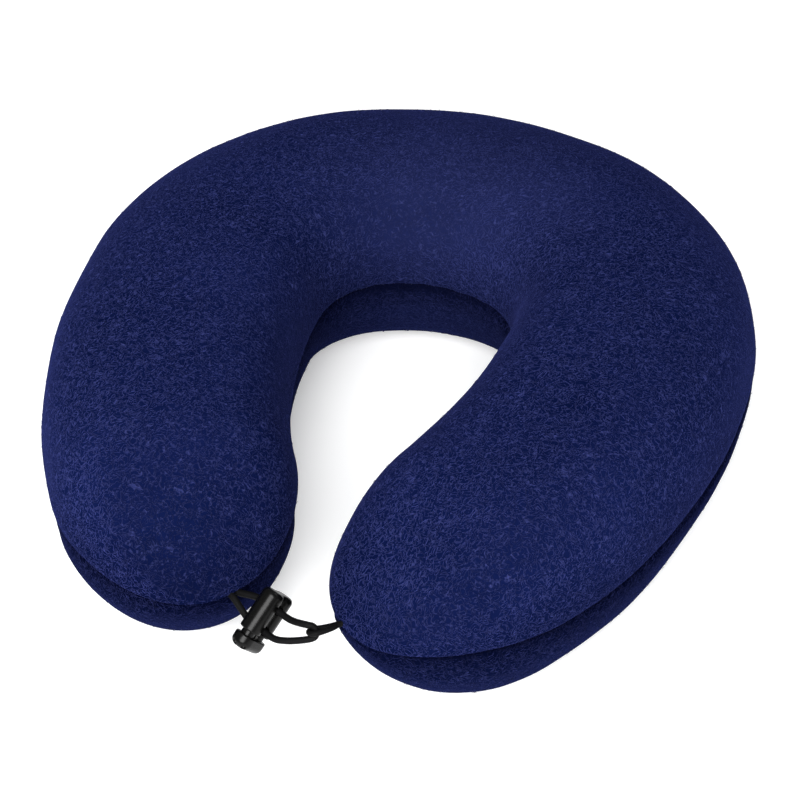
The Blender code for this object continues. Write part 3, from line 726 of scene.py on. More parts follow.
# scale, width and offset of each set of curls
LONG_CURLS, SHORT_CURLS, SHORT_SHARE = (450, 0.044, 0.0), (760, 0.058, 0.7), 0.7
GRAIN_SCALE, BREAK_SCALE, CLUMP_SCALE, BRUSH_SCALE, BROAD_SCALE = 1500, 420, 210, 34, 14
BROAD_SHARE, BRUSH_SHARE, CLUMP_SHARE = 0.40, 0.35, 0.25
PILE_HEIGHT, PILE_STRENGTH = 0.00050, 0.9


def curls(tree, place, scale, width, offset):
    """Thin wandering lines where a noise crosses its middle."""
    field = noise(tree, shifted(tree, place, offset), scale, 0.6)
    off = maths(tree, "ABSOLUTE", maths(tree, "SUBTRACT", field, 0.5))
    return ramp(tree, off, width, 0.0)


def warped(tree, place):
    """Bends a pattern's places a little, so that its lines wander."""
    bend = node(tree, "ShaderNodeTexNoise", {"Vector": place, "Scale": PILE_WARP_SCALE, "Detail": 1.0})
    centred = node(
        tree, "ShaderNodeVectorMath", {0: bend.outputs["Color"], 1: (0.5, 0.5, 0.5)}, operation="SUBTRACT"
    ).outputs[0]
    step = node(
        tree, "ShaderNodeVectorMath", {0: centred, "Scale": PILE_WARP}, operation="SCALE"
    ).outputs[0]
    return node(tree, "ShaderNodeVectorMath", {0: place, 1: step}, operation="ADD").outputs[0]


# brightness below 1 gives a darker copy with less sheen, which is painted shade
def velour_material(name, brightness, shaded, seam_shade_heights):
    made, tree, shader = new_material(name, 0.9)
    place = object_place(tree)
    place = warped(tree, place)
    broken = ramp(tree, noise(tree, place, BREAK_SCALE, 1.0), 0.36, 0.52)
    long_curls = maths(tree, "MULTIPLY", curls(tree, place, *LONG_CURLS), broken)
    short_curls = maths(tree, "MULTIPLY", curls(tree, place, *SHORT_CURLS), SHORT_SHARE)
    fibres = maths(tree, "MAXIMUM", long_curls, short_curls)
    grain = noise(tree, place, GRAIN_SCALE, 2.0)
    brushed = noise(tree, place, BRUSH_SCALE, 3.0, 0.6)
    clumps = noise(tree, place, CLUMP_SCALE, 2.0)
    deep = tuple(brightness * c for c in NAVY_DEEP)
    mid = tuple(brightness * c for c in NAVY)
    pale = tuple(brightness * c for c in NAVY_PALE)
    broad = noise(tree, place, BROAD_SCALE, 2.0)
    broad_tone = maths(tree, "MULTIPLY", ramp(tree, broad, 0.35, 0.65), BROAD_SHARE)
    brushed_tone = maths(tree, "MULTIPLY", ramp(tree, brushed, 0.3, 0.7), BRUSH_SHARE)
    clump_tone = maths(tree, "MULTIPLY", ramp(tree, clumps, 0.3, 0.7), CLUMP_SHARE)
    tone = maths(tree, "ADD", maths(tree, "ADD", broad_tone, brushed_tone), clump_tone)
    colour = blend_colours(tree, tone, deep, mid)
    bright = maths(tree, "SUBTRACT", maths(tree, "MULTIPLY", grain, 1.5), 0.15)
    lit = maths(tree, "MULTIPLY", fibres, bright, True)
    colour = blend_colours(tree, lit, colour, pale)
    # Painted light: paler in a patch round a place on the slope behind the neck.
    away = node(tree, "ShaderNodeVectorMath", {0: place, 1: PAINTED_LIGHT_AT}, operation="DISTANCE").outputs[1]
    painted_light = maths(tree, "MULTIPLY", ramp(tree, away, *PAINTED_LIGHT_REACH), maths(tree, "ADD", broad, 0.4))
    colour = blend_colours(tree, maths(tree, "MULTIPLY", painted_light, PAINTED_LIGHT_LIFT), colour, pale)
    _, depth, level = node(tree, "ShaderNodeSeparateXYZ", {0: place}).outputs
    # Painted shade: darker towards the back of the pillow.
    back_shade = maths(tree, "MULTIPLY", ramp(tree, depth, *BACK_SHADE_SPAN), BACK_SHADE_AMOUNT)
    colour = blend_colours(tree, back_shade, colour, SHADE)
    # Painted shade: darker towards the seam, by height.
    seam_shade = maths(tree, "MULTIPLY", ramp(tree, level, *seam_shade_heights), shaded)
    colour = blend_colours(tree, seam_shade, colour, SHADE)
    height = maths(tree, "ADD", fibres, maths(tree, "MULTIPLY", grain, 0.5))
    height = maths(tree, "ADD", height, maths(tree, "MULTIPLY", clumps, 0.4))
    shader.inputs["Sheen Weight"].default_value = SHEEN * brightness
    shader.inputs["Sheen Roughness"].default_value = 0.30
    shader.inputs["Sheen Tint"].default_value = SHEEN_TINT
    shader.inputs["Specular IOR Level"].default_value = 0.0
    finish_shader(tree, shader, colour, None, height, PILE_HEIGHT, PILE_STRENGTH)
    return made


# The lower panel's finish is the darker copy: painted shade on the underside.
looks["velour"] = velour_material("navy_velour", 1.0, 0.45, SEAM_SHADE_ABOVE)
looks["velour_under"] = velour_material("navy_velour_painted_shade", 0.55, 0.75, SEAM_SHADE_BELOW)
panels[1].data.materials.append(looks["velour"])
panels[-1].data.materials.append(looks["velour_under"])
print("velour on", [panel.name for panel in panels.values()])

# %% [markdown]
# ## Liner and foam
#
# Under the cover, a thin knitted liner keeps the foam clean, and the foam is one moulded piece with open
# cells. Neither shows while the zip is closed, but they are there when the cover comes off.

# %% Liner and foam
LINER_DEPTH, LINER_THICKNESS = 0.0030, 0.0004
FOAM_DEPTH = 0.0041
INNER_ROWS, INNER_STEPS = 0.0034, 24


def liner_material():
    made, tree, shader = new_material("knitted_liner", 0.85)
    place = object_place(tree)
    loops = node(tree, "ShaderNodeTexWave", {"Vector": place, "Scale": 160.0, "Distortion": 1.5})
    across = node(tree, "ShaderNodeTexWave", {"Vector": place, "Scale": 210.0}, bands_direction="Z")
    knit = maths(tree, "MULTIPLY", loops.outputs["Fac"], across.outputs["Fac"])
    colour = blend_colours(tree, knit, (0.52, 0.52, 0.53), (0.78, 0.78, 0.77))
    finish_shader(tree, shader, colour, None, knit, 0.0002)
    return made


def foam_material():
    made, tree, shader = new_material("memory_foam", 0.9)
    place = object_place(tree)
    cells = node(tree, "ShaderNodeTexVoronoi", {"Vector": place, "Scale": 900.0})
    pores = ramp(tree, cells.outputs["Distance"], 0.1, 0.6)
    cast = noise(tree, place, 40, 3.0)
    tone = maths(tree, "MULTIPLY", pores, maths(tree, "ADD", cast, 0.4), True)
    colour = blend_colours(tree, tone, (0.62, 0.55, 0.38), (0.86, 0.81, 0.66))
    finish_shader(tree, shader, colour, None, pores, 0.0004)
    return made


looks["liner"] = liner_material()
looks["foam"] = foam_material()
liners = {}
for half, word in ((1, "top"), (-1, "bottom")):
    outside, inside = (
        panel_grid(half, depth, INNER_ROWS, False, INNER_STEPS)
        for depth in (LINER_DEPTH, LINER_DEPTH + LINER_THICKNESS)
    )
    liners[half] = make_shell(f"liner_{word}", outside, inside, looks["liner"])
foam_top, foam_bottom = (
    panel_grid(half, FOAM_DEPTH, INNER_ROWS, False, INNER_STEPS) for half in (1, -1)
)
rows, columns, _ = foam_top.shape
foam_points = np.concatenate([foam_top.reshape(-1, 3), foam_bottom.reshape(-1, 3)])
foam_points[np.abs(foam_points[:, 2] - SEAM_HEIGHT) <= SEAM_GAP, 2] = SEAM_HEIGHT
foam_faces = grid_faces(rows, columns) + grid_faces(rows, columns, rows * columns, True)
foam_pad = link_mesh("foam_pad", foam_points, foam_faces, looks["foam"], 180)
clean(foam_pad, 5e-5)
print("foam faces:", len(foam_pad.data.polygons))

# %% [markdown]
# ## Rows of small things
#
# Stitches, coil teeth and loose fibres repeat hundreds of times. Placing them one by one in Python would
# hide the rule, and Geometry Nodes states it: space points evenly along a line, put a shape on each,
# turned along the line and standing out from the skin. One rule serves every row, and its spacing and
# sizes are named inputs. The line carries the skin's outward direction as an attribute.

# %% The two ends of a tree
def new_tree(name, inputs):
    """A geometry tree with named inputs. Returns it and each input's identifier."""
    tree = bpy.data.node_groups.new(name, "GeometryNodeTree")
    face = tree.interface
    face.new_socket("Geometry", in_out="INPUT", socket_type="NodeSocketGeometry")
    keys = {
        label: face.new_socket(label, in_out="INPUT", socket_type="NodeSocketFloat").identifier
        for label in inputs
    }
    face.new_socket("Geometry", in_out="OUTPUT", socket_type="NodeSocketGeometry")
    return tree, keys


def close_tree(tree, instances, look):
    solid = node(tree, "GeometryNodeRealizeInstances", {0: instances}).outputs[0]
    dyed = node(tree, "GeometryNodeSetMaterial", {"Geometry": solid, "Material": look}).outputs[0]
    node(tree, "NodeGroupOutput", {0: dyed})


def vector(tree, x, y, z):
    return node(tree, "ShaderNodeCombineXYZ", {0: x, 1: y, 2: z}).outputs[0]


# %% Shapes that repeat
def bead_shape(tree, start):
    """A short length of thread, which lies along X."""
    ball = node(tree, "GeometryNodeMeshUVSphere", {"Segments": 6, "Rings": 5, "Radius": 0.5}).outputs[0]
    size = vector(tree, start["Length"], start["Thickness"], start["Thickness"])
    return node(tree, "GeometryNodeTransform", {"Geometry": ball, "Scale": size}).outputs[0]


def loop_shape(tree, start):
    """One turn of a coil round the X axis, a little tilted as a helix is."""
    circle = node(tree, "GeometryNodeCurvePrimitiveCircle", {"Resolution": 12, "Radius": 0.5}).outputs[0]
    oval = node(
        tree, "GeometryNodeTransform",
        {"Geometry": circle, "Rotation": (0, math.pi / 2, 0.22), "Scale": vector(
            tree, start["Depth"], start["Length"], 1.0)},
    ).outputs[0]
    thread = maths(tree, "MULTIPLY", start["Thickness"], 0.5)
    wire = node(tree, "GeometryNodeCurvePrimitiveCircle", {"Resolution": 5, "Radius": thread}).outputs[0]
    return node(tree, "GeometryNodeCurveToMesh", {"Curve": oval, "Profile Curve": wire}).outputs[0]


# %% A row along a line
def row_tree(name, make_shape, look):
    """Puts a shape at even steps along a line, turned along it and out from the skin."""
    tree, keys = new_tree(name, ("Spacing", "Length", "Thickness", "Depth", "Turn"))
    start = node(tree, "NodeGroupInput").outputs
    curve = node(tree, "GeometryNodeMeshToCurve", {0: start["Geometry"]}).outputs[0]
    spaced = node(
        tree, "GeometryNodeResampleCurve", {"Curve": curve, "Length": start["Spacing"]}, mode="LENGTH"
    )
    out = node(tree, "GeometryNodeInputNamedAttribute", {"Name": "out"}, data_type="FLOAT_VECTOR")
    way = node(tree, "GeometryNodeInputTangent").outputs[0]
    first = node(tree, "FunctionNodeAlignRotationToVector", {"Vector": way}, axis="X").outputs[0]
    second = node(
        tree, "FunctionNodeAlignRotationToVector", {"Rotation": first, "Vector": out.outputs[0]},
        axis="Z", pivot_axis="X",
    ).outputs[0]
    spin = node(
        tree, "FunctionNodeRandomValue", {2: -0.10, 3: 0.10, "Seed": 4}, data_type="FLOAT"
    ).outputs[1]
    turn = vector(tree, 0.0, 0.0, maths(tree, "ADD", start["Turn"], spin))
    turned = node(
        tree, "FunctionNodeRotateRotation", {0: second, 1: turn}, rotation_space="LOCAL"
    ).outputs[0]
    size = node(tree, "FunctionNodeRandomValue", {2: 0.9, 3: 1.1, "Seed": 9}, data_type="FLOAT").outputs[1]
    placed = node(tree, "GeometryNodeInstanceOnPoints", {
        "Points": spaced.outputs[0], "Instance": make_shape(tree, start), "Rotation": turned,
        "Scale": size,
    })
    close_tree(tree, placed.outputs[0], look)
    return tree, keys


# %% From a tree to a plain mesh
def grown(name, base, tree_and_keys, sizes):
    """Runs a tree on an object and keeps what it made as a plain mesh."""
    tree, keys = tree_and_keys
    change = base.modifiers.new(name, "NODES")
    change.node_group = tree
    for label, value in sizes.items():
        change[keys[label]] = float(value)
    graph = bpy.context.evaluated_depsgraph_get()
    mesh = bpy.data.meshes.new_from_object(base.evaluated_get(graph))
    base.modifiers.remove(change)
    made = bpy.data.objects.new(name, mesh)
    bpy.context.scene.collection.objects.link(made)
    mesh.shade_smooth()
    return made


def line_with_out(points, outs, breaks=()):
    """A helper object: lines through points that know which way is out of the skin."""
    edges = [(i, i + 1) for i in range(len(points) - 1) if i + 1 not in breaks]
    mesh = bpy.data.meshes.new("line")
    mesh.from_pydata([tuple(p) for p in points], edges, [])
    way = mesh.attributes.new("out", "FLOAT_VECTOR", "POINT")
    way.data.foreach_set("vector", np.ascontiguousarray(outs, dtype=np.float32).ravel())
    made = bpy.data.objects.new("line", mesh)
    bpy.context.scene.collection.objects.link(made)
    return made


def row_of(name, lines, tree_and_keys, sizes):
    """One mesh with a row along each (points, outward directions) pair."""
    points = np.concatenate([line for line, _ in lines])
    outs = np.concatenate([out for _, out in lines])
    breaks = set(np.cumsum([len(line) for line, _ in lines])[:-1].tolist())
    helper = line_with_out(points, outs, breaks)
    made = grown(name, helper, tree_and_keys, sizes)
    bpy.data.objects.remove(helper)
    print(name, len(made.data.polygons), "faces")
    return made


# %% [markdown]
# ## Zip tapes and coils
#
# The zip is a fine nylon coil one. Two woven tapes lie just under the panels' lips, and each carries a
# coil, whose loops interlock while the zip is closed. A flat ribbed strip would show its fault in the
# slot, so each turn of the coil is a real loop of wire, and the second coil is set half a step on.

# %% Zip tapes and coils
ARC_CENTRE = np.array([0, 0.0017, SEAM_HEIGHT])
SEAM_RADIUS = 0.1497
ZIP_END = BACK_HALF_ANGLE * 5 / 6
TAPE_DEPTH, TAPE_THICKNESS = 0.00155, 0.0004
COIL_WIDTH, COIL_DEPTH, COIL_SLIT = 0.00185, 0.0013, 0.0009
COIL_TOP = TAPE_DEPTH - 0.0003 - COIL_DEPTH
COIL_PITCH, COIL_WIRE = 0.00124, 0.00055
INTERLOCK = 0.00040
TAPE_RISES = (COIL_SLIT / 2, 0.0012, 0.0025, 0.0040, 0.0065, 0.0100)


def thread_material(name, dark, pale, roughness=0.6):
    """Twisted or moulded fibre: fine light and dark streaks."""
    made, tree, shader = new_material(name, roughness)
    streaks = noise(tree, object_place(tree), 2400, 3.0)
    colour = blend_colours(tree, ramp(tree, streaks, 0.35, 0.70), dark, pale)
    finish_shader(tree, shader, colour, None, streaks, 0.00005)
    return made


def tape_material():
    made, tree, shader = new_material("woven_tape", 0.75)
    place = object_place(tree)
    weft = node(tree, "ShaderNodeTexWave", {"Vector": place, "Scale": 420.0}, bands_direction="Z")
    warp = node(tree, "ShaderNodeTexWave", {"Vector": place, "Scale": 300.0}, bands_direction="X")
    weave = maths(tree, "MULTIPLY", weft.outputs["Fac"], warp.outputs["Fac"])
    colour = blend_colours(tree, weave, (0.004, 0.006, 0.024), (0.012, 0.017, 0.066))
    finish_shader(tree, shader, colour, None, weave, 0.0001)
    return made


def on_the_arc(turn, depth, rise):
    """A place near the back seam: this far round, this deep, and this far above the seam."""
    radius = SEAM_RADIUS - depth
    turn = np.asarray(turn, dtype=float)
    flat = [radius * np.sin(turn), radius * np.cos(turn), np.full_like(turn, rise)]
    return ARC_CENTRE + np.stack(flat, axis=-1)


def outward(turn):
    return np.stack([np.sin(turn), np.cos(turn), np.zeros(len(turn))], axis=-1)


def make_tape(half, word):
    layers = []
    for depth in (TAPE_DEPTH, TAPE_DEPTH + TAPE_THICKNESS):
        stations = Stations(depth, 0.0017)
        used = np.abs(stations.turn) <= BACK_HALF_ANGLE + 0.01
        angles = np.stack(
            [stations.angle_at(half, np.full(len(used), rise)) for rise in TAPE_RISES], axis=1
        )
        layers.append(stations.skin(half, angles)[used])
    return make_shell(f"tape_{word}", *layers, looks["tape"])


looks["tape"] = tape_material()
looks["coil"] = thread_material("nylon_coil", (0.004, 0.006, 0.022), (0.012, 0.016, 0.055), 0.35)
tapes = {half: make_tape(half, word) for half, word in ((1, "upper"), (-1, "lower"))}
loops = row_tree("coil_turns", loop_shape, looks["coil"])
coils = {}
for half, word in ((1, "upper"), (-1, "lower")):
    shift = half * COIL_PITCH / 4 / SEAM_RADIUS
    turns = np.linspace(-ZIP_END + shift, ZIP_END + shift, 160)
    rise = half * (COIL_SLIT / 2 + COIL_WIDTH / 2 - INTERLOCK / 2)
    line = on_the_arc(turns, COIL_TOP + COIL_DEPTH / 2, rise)
    sizes = {"Spacing": COIL_PITCH, "Length": COIL_WIDTH + INTERLOCK - COIL_WIRE, "Turn": 0,
             "Thickness": COIL_WIRE, "Depth": COIL_DEPTH - COIL_WIRE}
    coils[half] = row_of(f"coil_{word}", [(line, outward(turns))], loops, sizes)

# %% [markdown]
# ## Stitching
#
# Three kinds of stitching hold the cover: a row along each lip of the zip's slot, a bar tack across each
# end of it, and the seam's own thread deep in its groove. Each is a row of short threads that sink at
# their ends, so that one bead shape does for all of them.

# %% Stitching
THREAD = 0.00042
TOPSTITCH_PITCH, TOPSTITCH_LENGTH = 0.0029, 0.0025
SEAM_PITCH, SEAM_STITCH_LENGTH = 0.0024, 0.0010
TACK_PITCH, TACK_LENGTH = 0.00045, 0.0024
TACK_HALF_HEIGHT, TACK_INSET, TACK_DEPTH = 0.0045, 0.004, 0.0003
TOPSTITCH_LIFT, SEAM_THREAD_SUNK = 0.00005, 0.00015
looks["thread"] = thread_material("navy_thread", (0.0030, 0.0050, 0.024), (0.0110, 0.0150, 0.060), 0.8)


def outward_from_core(points, stations):
    out = np.concatenate([points[:, :2] - stations.core, np.zeros((len(points), 1))], axis=1)
    return out / np.maximum(np.linalg.norm(out, axis=1), 1e-9)[:, None]


def lip_lines():
    near_zip = np.abs(shape.turn) < ZIP_FULL_TURN
    lines = []
    for half in (1, -1):
        points = grids[half][near_zip, TOPSTITCH_COLUMN]
        outs = outward_from_core(grids[half][:, TOPSTITCH_COLUMN], shape)[near_zip]
        lines.append((points + outs * TOPSTITCH_LIFT, outs))
    return lines


def seam_lines():
    """The bottom of the groove, on the outer side and the neck side, leaving out the zip."""
    lines = []
    whole = shape.taper > 0.12
    for column, sides in ((0, (-1, 1)), (-1, (0,))):
        for side in sides:
            used = whole & (np.sign(shape.turn) * side >= 0)
            if side:
                used &= np.abs(shape.turn) > BACK_HALF_ANGLE
            used = np.flatnonzero(used)
            points = grids[1][used, column].copy()
            points[:, 2] = SEAM_HEIGHT
            outs = outward_from_core(grids[1][:, column], shape)[used]
            lines.append((points - outs * SEAM_THREAD_SUNK, outs))
    return lines


def tack_lines():
    """Across both ends of the zip's slot, from lip to lip."""
    lines = []
    rises = np.linspace(-TACK_HALF_HEIGHT, TACK_HALF_HEIGHT, 16)
    for turn in (-BACK_HALF_ANGLE + TACK_INSET, BACK_HALF_ANGLE - TACK_INSET):
        turns = np.full(len(rises), turn)
        points = np.concatenate([on_the_arc([turn], TACK_DEPTH, rise) for rise in rises])
        lines.append((points, outward(turns)))
    return lines


beads = row_tree("stitches", bead_shape, looks["thread"])
topstitch = row_of("topstitching", lip_lines(), beads, {
    "Spacing": TOPSTITCH_PITCH, "Length": TOPSTITCH_LENGTH, "Thickness": THREAD, "Turn": 0})
seam_thread = row_of("seam_thread", seam_lines(), beads, {
    "Spacing": SEAM_PITCH, "Length": SEAM_STITCH_LENGTH, "Thickness": 0.7 * THREAD, "Turn": math.pi / 2})
bar_tacks = row_of("bar_tacks", tack_lines(), beads, {
    "Spacing": TACK_PITCH, "Length": TACK_LENGTH, "Thickness": THREAD, "Turn": math.pi / 2})

# %% [markdown]
# ## Loose fibres
#
# Brushing leaves some curled fibres standing a little proud of the pile. They soften the outline and the
# seam's edges. A few thousand short arcs, each a thin three-sided thread, are scattered over the panels
# with a fixed seed, lie along the skin at random turns, and are tilted so that one end is buried.

# %% Loose fibres
FIBRE_LENGTH, FIBRE_THICKNESS = 0.0022, 0.00014
FIBRES_PER_M2 = 42000
FIBRE_TILT = 0.45


def fibre_tree(look):
    tree, keys = new_tree("loose_fibres", ("Length", "Thickness", "Density", "Tilt"))
    start = node(tree, "NodeGroupInput").outputs
    points = node(
        tree, "GeometryNodeDistributePointsOnFaces",
        {"Mesh": start["Geometry"], "Density": start["Density"], "Seed": 12},
        distribute_method="RANDOM",
    )
    radius = maths(tree, "MULTIPLY", start["Length"], 0.5)
    arc = node(tree, "GeometryNodeCurveArc", {
        "Resolution": 5, "Radius": radius, "Start Angle": 0.0, "Sweep Angle": 2.0},
        mode="RADIUS").outputs[0]
    centred = node(tree, "GeometryNodeTransform", {
        "Geometry": arc, "Translation": vector(tree, maths(tree, "MULTIPLY", radius, -0.6), 0.0, 0.0),
    }).outputs[0]
    thread = maths(tree, "MULTIPLY", start["Thickness"], 0.5)
    profile = node(tree, "GeometryNodeCurvePrimitiveCircle", {"Resolution": 3, "Radius": thread}).outputs[0]
    hair = node(tree, "GeometryNodeCurveToMesh", {"Curve": centred, "Profile Curve": profile}).outputs[0]
    spin = node(tree, "FunctionNodeRandomValue", {2: 0.0, 3: 6.283, "Seed": 3}, data_type="FLOAT")
    lean = node(tree, "FunctionNodeRandomValue", {2: -1.0, 3: 1.0, "Seed": 5}, data_type="FLOAT")
    tilt = maths(tree, "MULTIPLY", lean.outputs[1], start["Tilt"])
    turn = vector(tree, tilt, 0.0, spin.outputs[1])
    turned = node(tree, "FunctionNodeRotateRotation", {0: points.outputs["Rotation"], 1: turn},
                  rotation_space="LOCAL").outputs[0]
    size = node(tree, "FunctionNodeRandomValue", {2: 0.4, 3: 1.1, "Seed": 7}, data_type="FLOAT")
    placed = node(tree, "GeometryNodeInstanceOnPoints", {
        "Points": points.outputs[0], "Instance": hair, "Rotation": turned, "Scale": size.outputs[1]})
    close_tree(tree, placed.outputs[0], look)
    return tree, keys


def skin_only(name, grid, half):
    """A helper: a panel's outside without the part it rests on."""
    rows, columns, _ = grid.shape
    faces = np.array(grid_faces(rows, columns, 0, half > 0))
    flat = grid.reshape(-1, 3)
    kept = flat[faces][:, :, 2].min(axis=1) > RESTS_BELOW
    return link_mesh(name, flat, faces[kept].tolist())


def fibre_material(name, brightness):
    low = tuple(brightness * c for c in (0.0050, 0.0080, 0.0400))
    high = tuple(brightness * c for c in (0.0180, 0.0240, 0.0850))
    made = thread_material(name, low, high, 0.9)
    made.node_tree.nodes["Principled BSDF"].inputs["Specular IOR Level"].default_value = 0.03
    return made


looks["fibre_top"] = fibre_material("pile_fibre", 1.0)
# The lower panel's fibres are a darker copy: painted shade on the underside.
looks["fibre_bottom"] = fibre_material("pile_fibre_painted_shade", 0.45)
fibres = {}
for half, word in ((1, "top"), (-1, "bottom")):
    helper = skin_only("skin", grids[half], half)
    fibres[half] = grown(f"fibres_{word}", helper, fibre_tree(looks[f"fibre_{word}"]), {
        "Length": FIBRE_LENGTH, "Thickness": FIBRE_THICKNESS, "Density": FIBRES_PER_M2,
        "Tilt": FIBRE_TILT})
    bpy.data.objects.remove(helper)
    print(word, "fibres:", len(fibres[half].data.polygons), "faces")

# %% [markdown]
# ## Metal of the zip
#
# The slider, its tab and the stops are die-cast zinc, enamelled dark to match the cloth. A casting has
# soft edges everywhere, so each block of the slider is bevelled before all are put in one mesh.

# %% Sizes and finish of the zip's metal
SLIDER_RUN = math.radians(19.5)
SLIDER_LENGTH, SLIDER_WALL, SLIDER_POST, SLIDER_FLANGE = 0.009, 0.0008, 0.0004, 0.0006
PLATE_DEPTH, PLATE_THICKNESS, FIT_GAP = 0.00225, 0.00045, 0.0003
BAIL_RADIUS, BAIL_INSET, BAIL_LIFT, EYE_RADIUS, EYE_WALL = 0.0006, 0.0004, 0.0004, 0.0015, 0.0006
TAB_WIDTH, TAB_LENGTH, TAB_THICKNESS = 0.0046, 0.020, 0.001
SLIDER_FRAME = Matrix.Translation(ARC_CENTRE) @ Matrix.Rotation(SLIDER_RUN, 4, "Z")


def metal_material():
    made, tree, shader = new_material("enamelled_zinc", 0.34, 0.35)
    place = object_place(tree)
    grit = noise(tree, place, 1400, 3.0)
    wear = noise(tree, place, 260, 3.0)
    worn = ramp(tree, wear, 0.55, 0.75)
    colour = blend_colours(tree, worn, (0.016, 0.018, 0.032), (0.030, 0.032, 0.048))
    finish_shader(tree, shader, colour, ramp_between(tree, grit, 0.28, 0.44), grit, 0.00003)
    return made


looks["metal"] = metal_material()
print("metal:", looks["metal"].name)


# %% Tools for hard pieces
def settle(made):
    """Turns modifiers into plain mesh, and removes the helpers that they used."""
    helpers = [change.object for change in made.modifiers if change.type == "BOOLEAN"]
    graph = bpy.context.evaluated_depsgraph_get()
    mesh = bpy.data.meshes.new_from_object(made.evaluated_get(graph))
    made.modifiers.clear()
    made.data = mesh
    for helper in helpers:
        bpy.data.objects.remove(helper)
    return made


def soften(made, width, segments=3):
    edge = made.modifiers.new("soft_edges", "BEVEL")
    edge.width = width
    edge.segments = segments
    edge.limit_method = "ANGLE"
    edge.angle_limit = math.radians(40)
    return settle(made)


def loft(name, rings, look, place=Matrix.Identity(4), smooth_angle=40):
    """A closed body through rings of points, with a flat end on the first and the last."""
    points = [place @ Vector(point) for point in np.array(rings).reshape(-1, 3)]
    made = link_mesh(name, points, tube_faces(len(rings), len(rings[0])), look, smooth_angle)
    clean(made)
    made.data.set_sharp_from_angle(angle=math.radians(smooth_angle))
    return made


# %% Blocks, plates and wire
def block(name, x, y, z, look, place, soft=0.0002):
    """A box between two limits on each axis, with softened edges."""
    rings = [[(x[0], y[i], z[j]) for i, j in ((0, 0), (1, 0), (1, 1), (0, 1))],
             [(x[1], y[i], z[j]) for i, j in ((0, 0), (1, 0), (1, 1), (0, 1))]]
    return soften(loft(name, rings, look, place), soft)


def shield(name, length, height, y, look, place, soft=0.00025):
    """A slider's plate: wide at one end, drawn in a little towards the other, with round corners."""
    turns = np.linspace(0, 2 * math.pi, 48, endpoint=False)
    power = 2 / 4.5
    x = np.sign(np.cos(turns)) * np.abs(np.cos(turns)) ** power
    z = np.sign(np.sin(turns)) * np.abs(np.sin(turns)) ** power * (1 - 0.10 * (1 - x) / 2)
    rings = [[(a * length / 2, level, b * height / 2) for a, b in zip(x, z)] for level in y]
    return soften(loft(name, rings, look, place), soft)


def joined(name, made):
    """One object out of several."""
    together = bmesh.new()
    for piece in made:
        together.from_mesh(piece.data)
    mesh = bpy.data.meshes.new(name)
    together.to_mesh(mesh)
    together.free()
    for look in made[0].data.materials:
        mesh.materials.append(look)
    for piece in made:
        bpy.data.objects.remove(piece)
    result = bpy.data.objects.new(name, mesh)
    bpy.context.scene.collection.objects.link(result)
    return result


def wire(name, route, radius, look, place, sides=20):
    line = np.array(route)
    first, second = frames_along(line)
    turns = 2 * np.pi * np.arange(sides) / sides
    rings = line[:, None] + radius * (
        first[:, None] * np.cos(turns)[None, :, None] + second[:, None] * np.sin(turns)[None, :, None]
    )
    return loft(name, rings, look, place)


# %% Zip slider
OVERLAP = 0.0002
BAIL_CORNER = 0.0011
FOOT_HALF_LENGTH, FOOT_HEIGHT, FOOT_HALF_WIDTH = 0.0008, 0.0004, 0.0009


def slider_body():
    look = looks["metal"]
    reach = COIL_SLIT / 2 + COIL_WIDTH + FIT_GAP
    full = reach + SLIDER_FLANGE
    top = SEAM_RADIUS - (COIL_TOP - FIT_GAP - SLIDER_WALL)
    low = top - SLIDER_WALL
    inner = SEAM_RADIUS - PLATE_DEPTH
    half = SLIDER_LENGTH / 2
    parts = [
        shield("outer_plate", SLIDER_LENGTH, 2 * full, (low, top), look, SLIDER_FRAME),
        shield("inner_plate", SLIDER_LENGTH, 2 * full, (inner - PLATE_THICKNESS, inner), look,
               SLIDER_FRAME, 0.00012),
        block("post", (-half * 0.7, half * 0.7), (inner - OVERLAP, low + OVERLAP),
              (-SLIDER_POST / 2, SLIDER_POST / 2), look, SLIDER_FRAME, 0.00005),
    ]
    skirt = SEAM_RADIUS - (TAPE_DEPTH - 2 * FIT_GAP)
    for side in (-1, 1):
        wall = sorted((side * reach, side * full))
        parts.append(block("flange", (-half * 0.8, half * 0.8), (skirt, top - OVERLAP), wall, look,
                           SLIDER_FRAME, 0.00015))
    leg = half - BAIL_INSET - BAIL_RADIUS
    bar = top + BAIL_LIFT + EYE_RADIUS
    bend = np.linspace(0, math.pi / 2, 9)
    left = [(-leg, top - 0.0003, 0), (-leg, top + OVERLAP, 0)]
    left += [
        (-leg + BAIL_CORNER * (1 - math.cos(a)), bar - BAIL_CORNER * (1 - math.sin(a)), 0) for a in bend
    ]
    right = [(-x, y, z) for x, y, z in reversed(left)]
    parts.append(wire("bail", left + right, BAIL_RADIUS, look, SLIDER_FRAME))
    for foot in (-leg, leg):
        parts.append(block("bail_foot", (foot - FOOT_HALF_LENGTH, foot + FOOT_HALF_LENGTH),
                           (top - OVERLAP, top + FOOT_HEIGHT), (-FOOT_HALF_WIDTH, FOOT_HALF_WIDTH),
                           look, SLIDER_FRAME))
    return joined("slider_body", parts), bar


slider, bail_height = slider_body()
print("slider faces:", len(slider.data.polygons))

# %% [markdown]
# ## Pull tab
#
# The tab hangs on the slider's bail by a rolled eye. Pressing leaves a raised border round a shallow
# panel, and the free end is rounded.

# %% Pull tab
BORDER, RECESS = 0.0009, 0.00022
TAB_TOP, DISH_TOP = -0.0010, -0.0042


def combine(made, helper, operation):
    change = made.modifiers.new(helper.name, "BOOLEAN")
    change.operation = operation
    change.object = helper
    change.solver = "EXACT"
    return made


def tab_outline(half_width, foot, top, steps=12):
    """A strip with a rounded free end, in the tab's flat plane."""
    bend = np.linspace(0, math.pi, 2 * steps + 1)
    low = foot + half_width
    return [(half_width, top)] + [
        (half_width * math.cos(a), low - half_width * math.sin(a)) for a in bend
    ] + [(-half_width, top)]


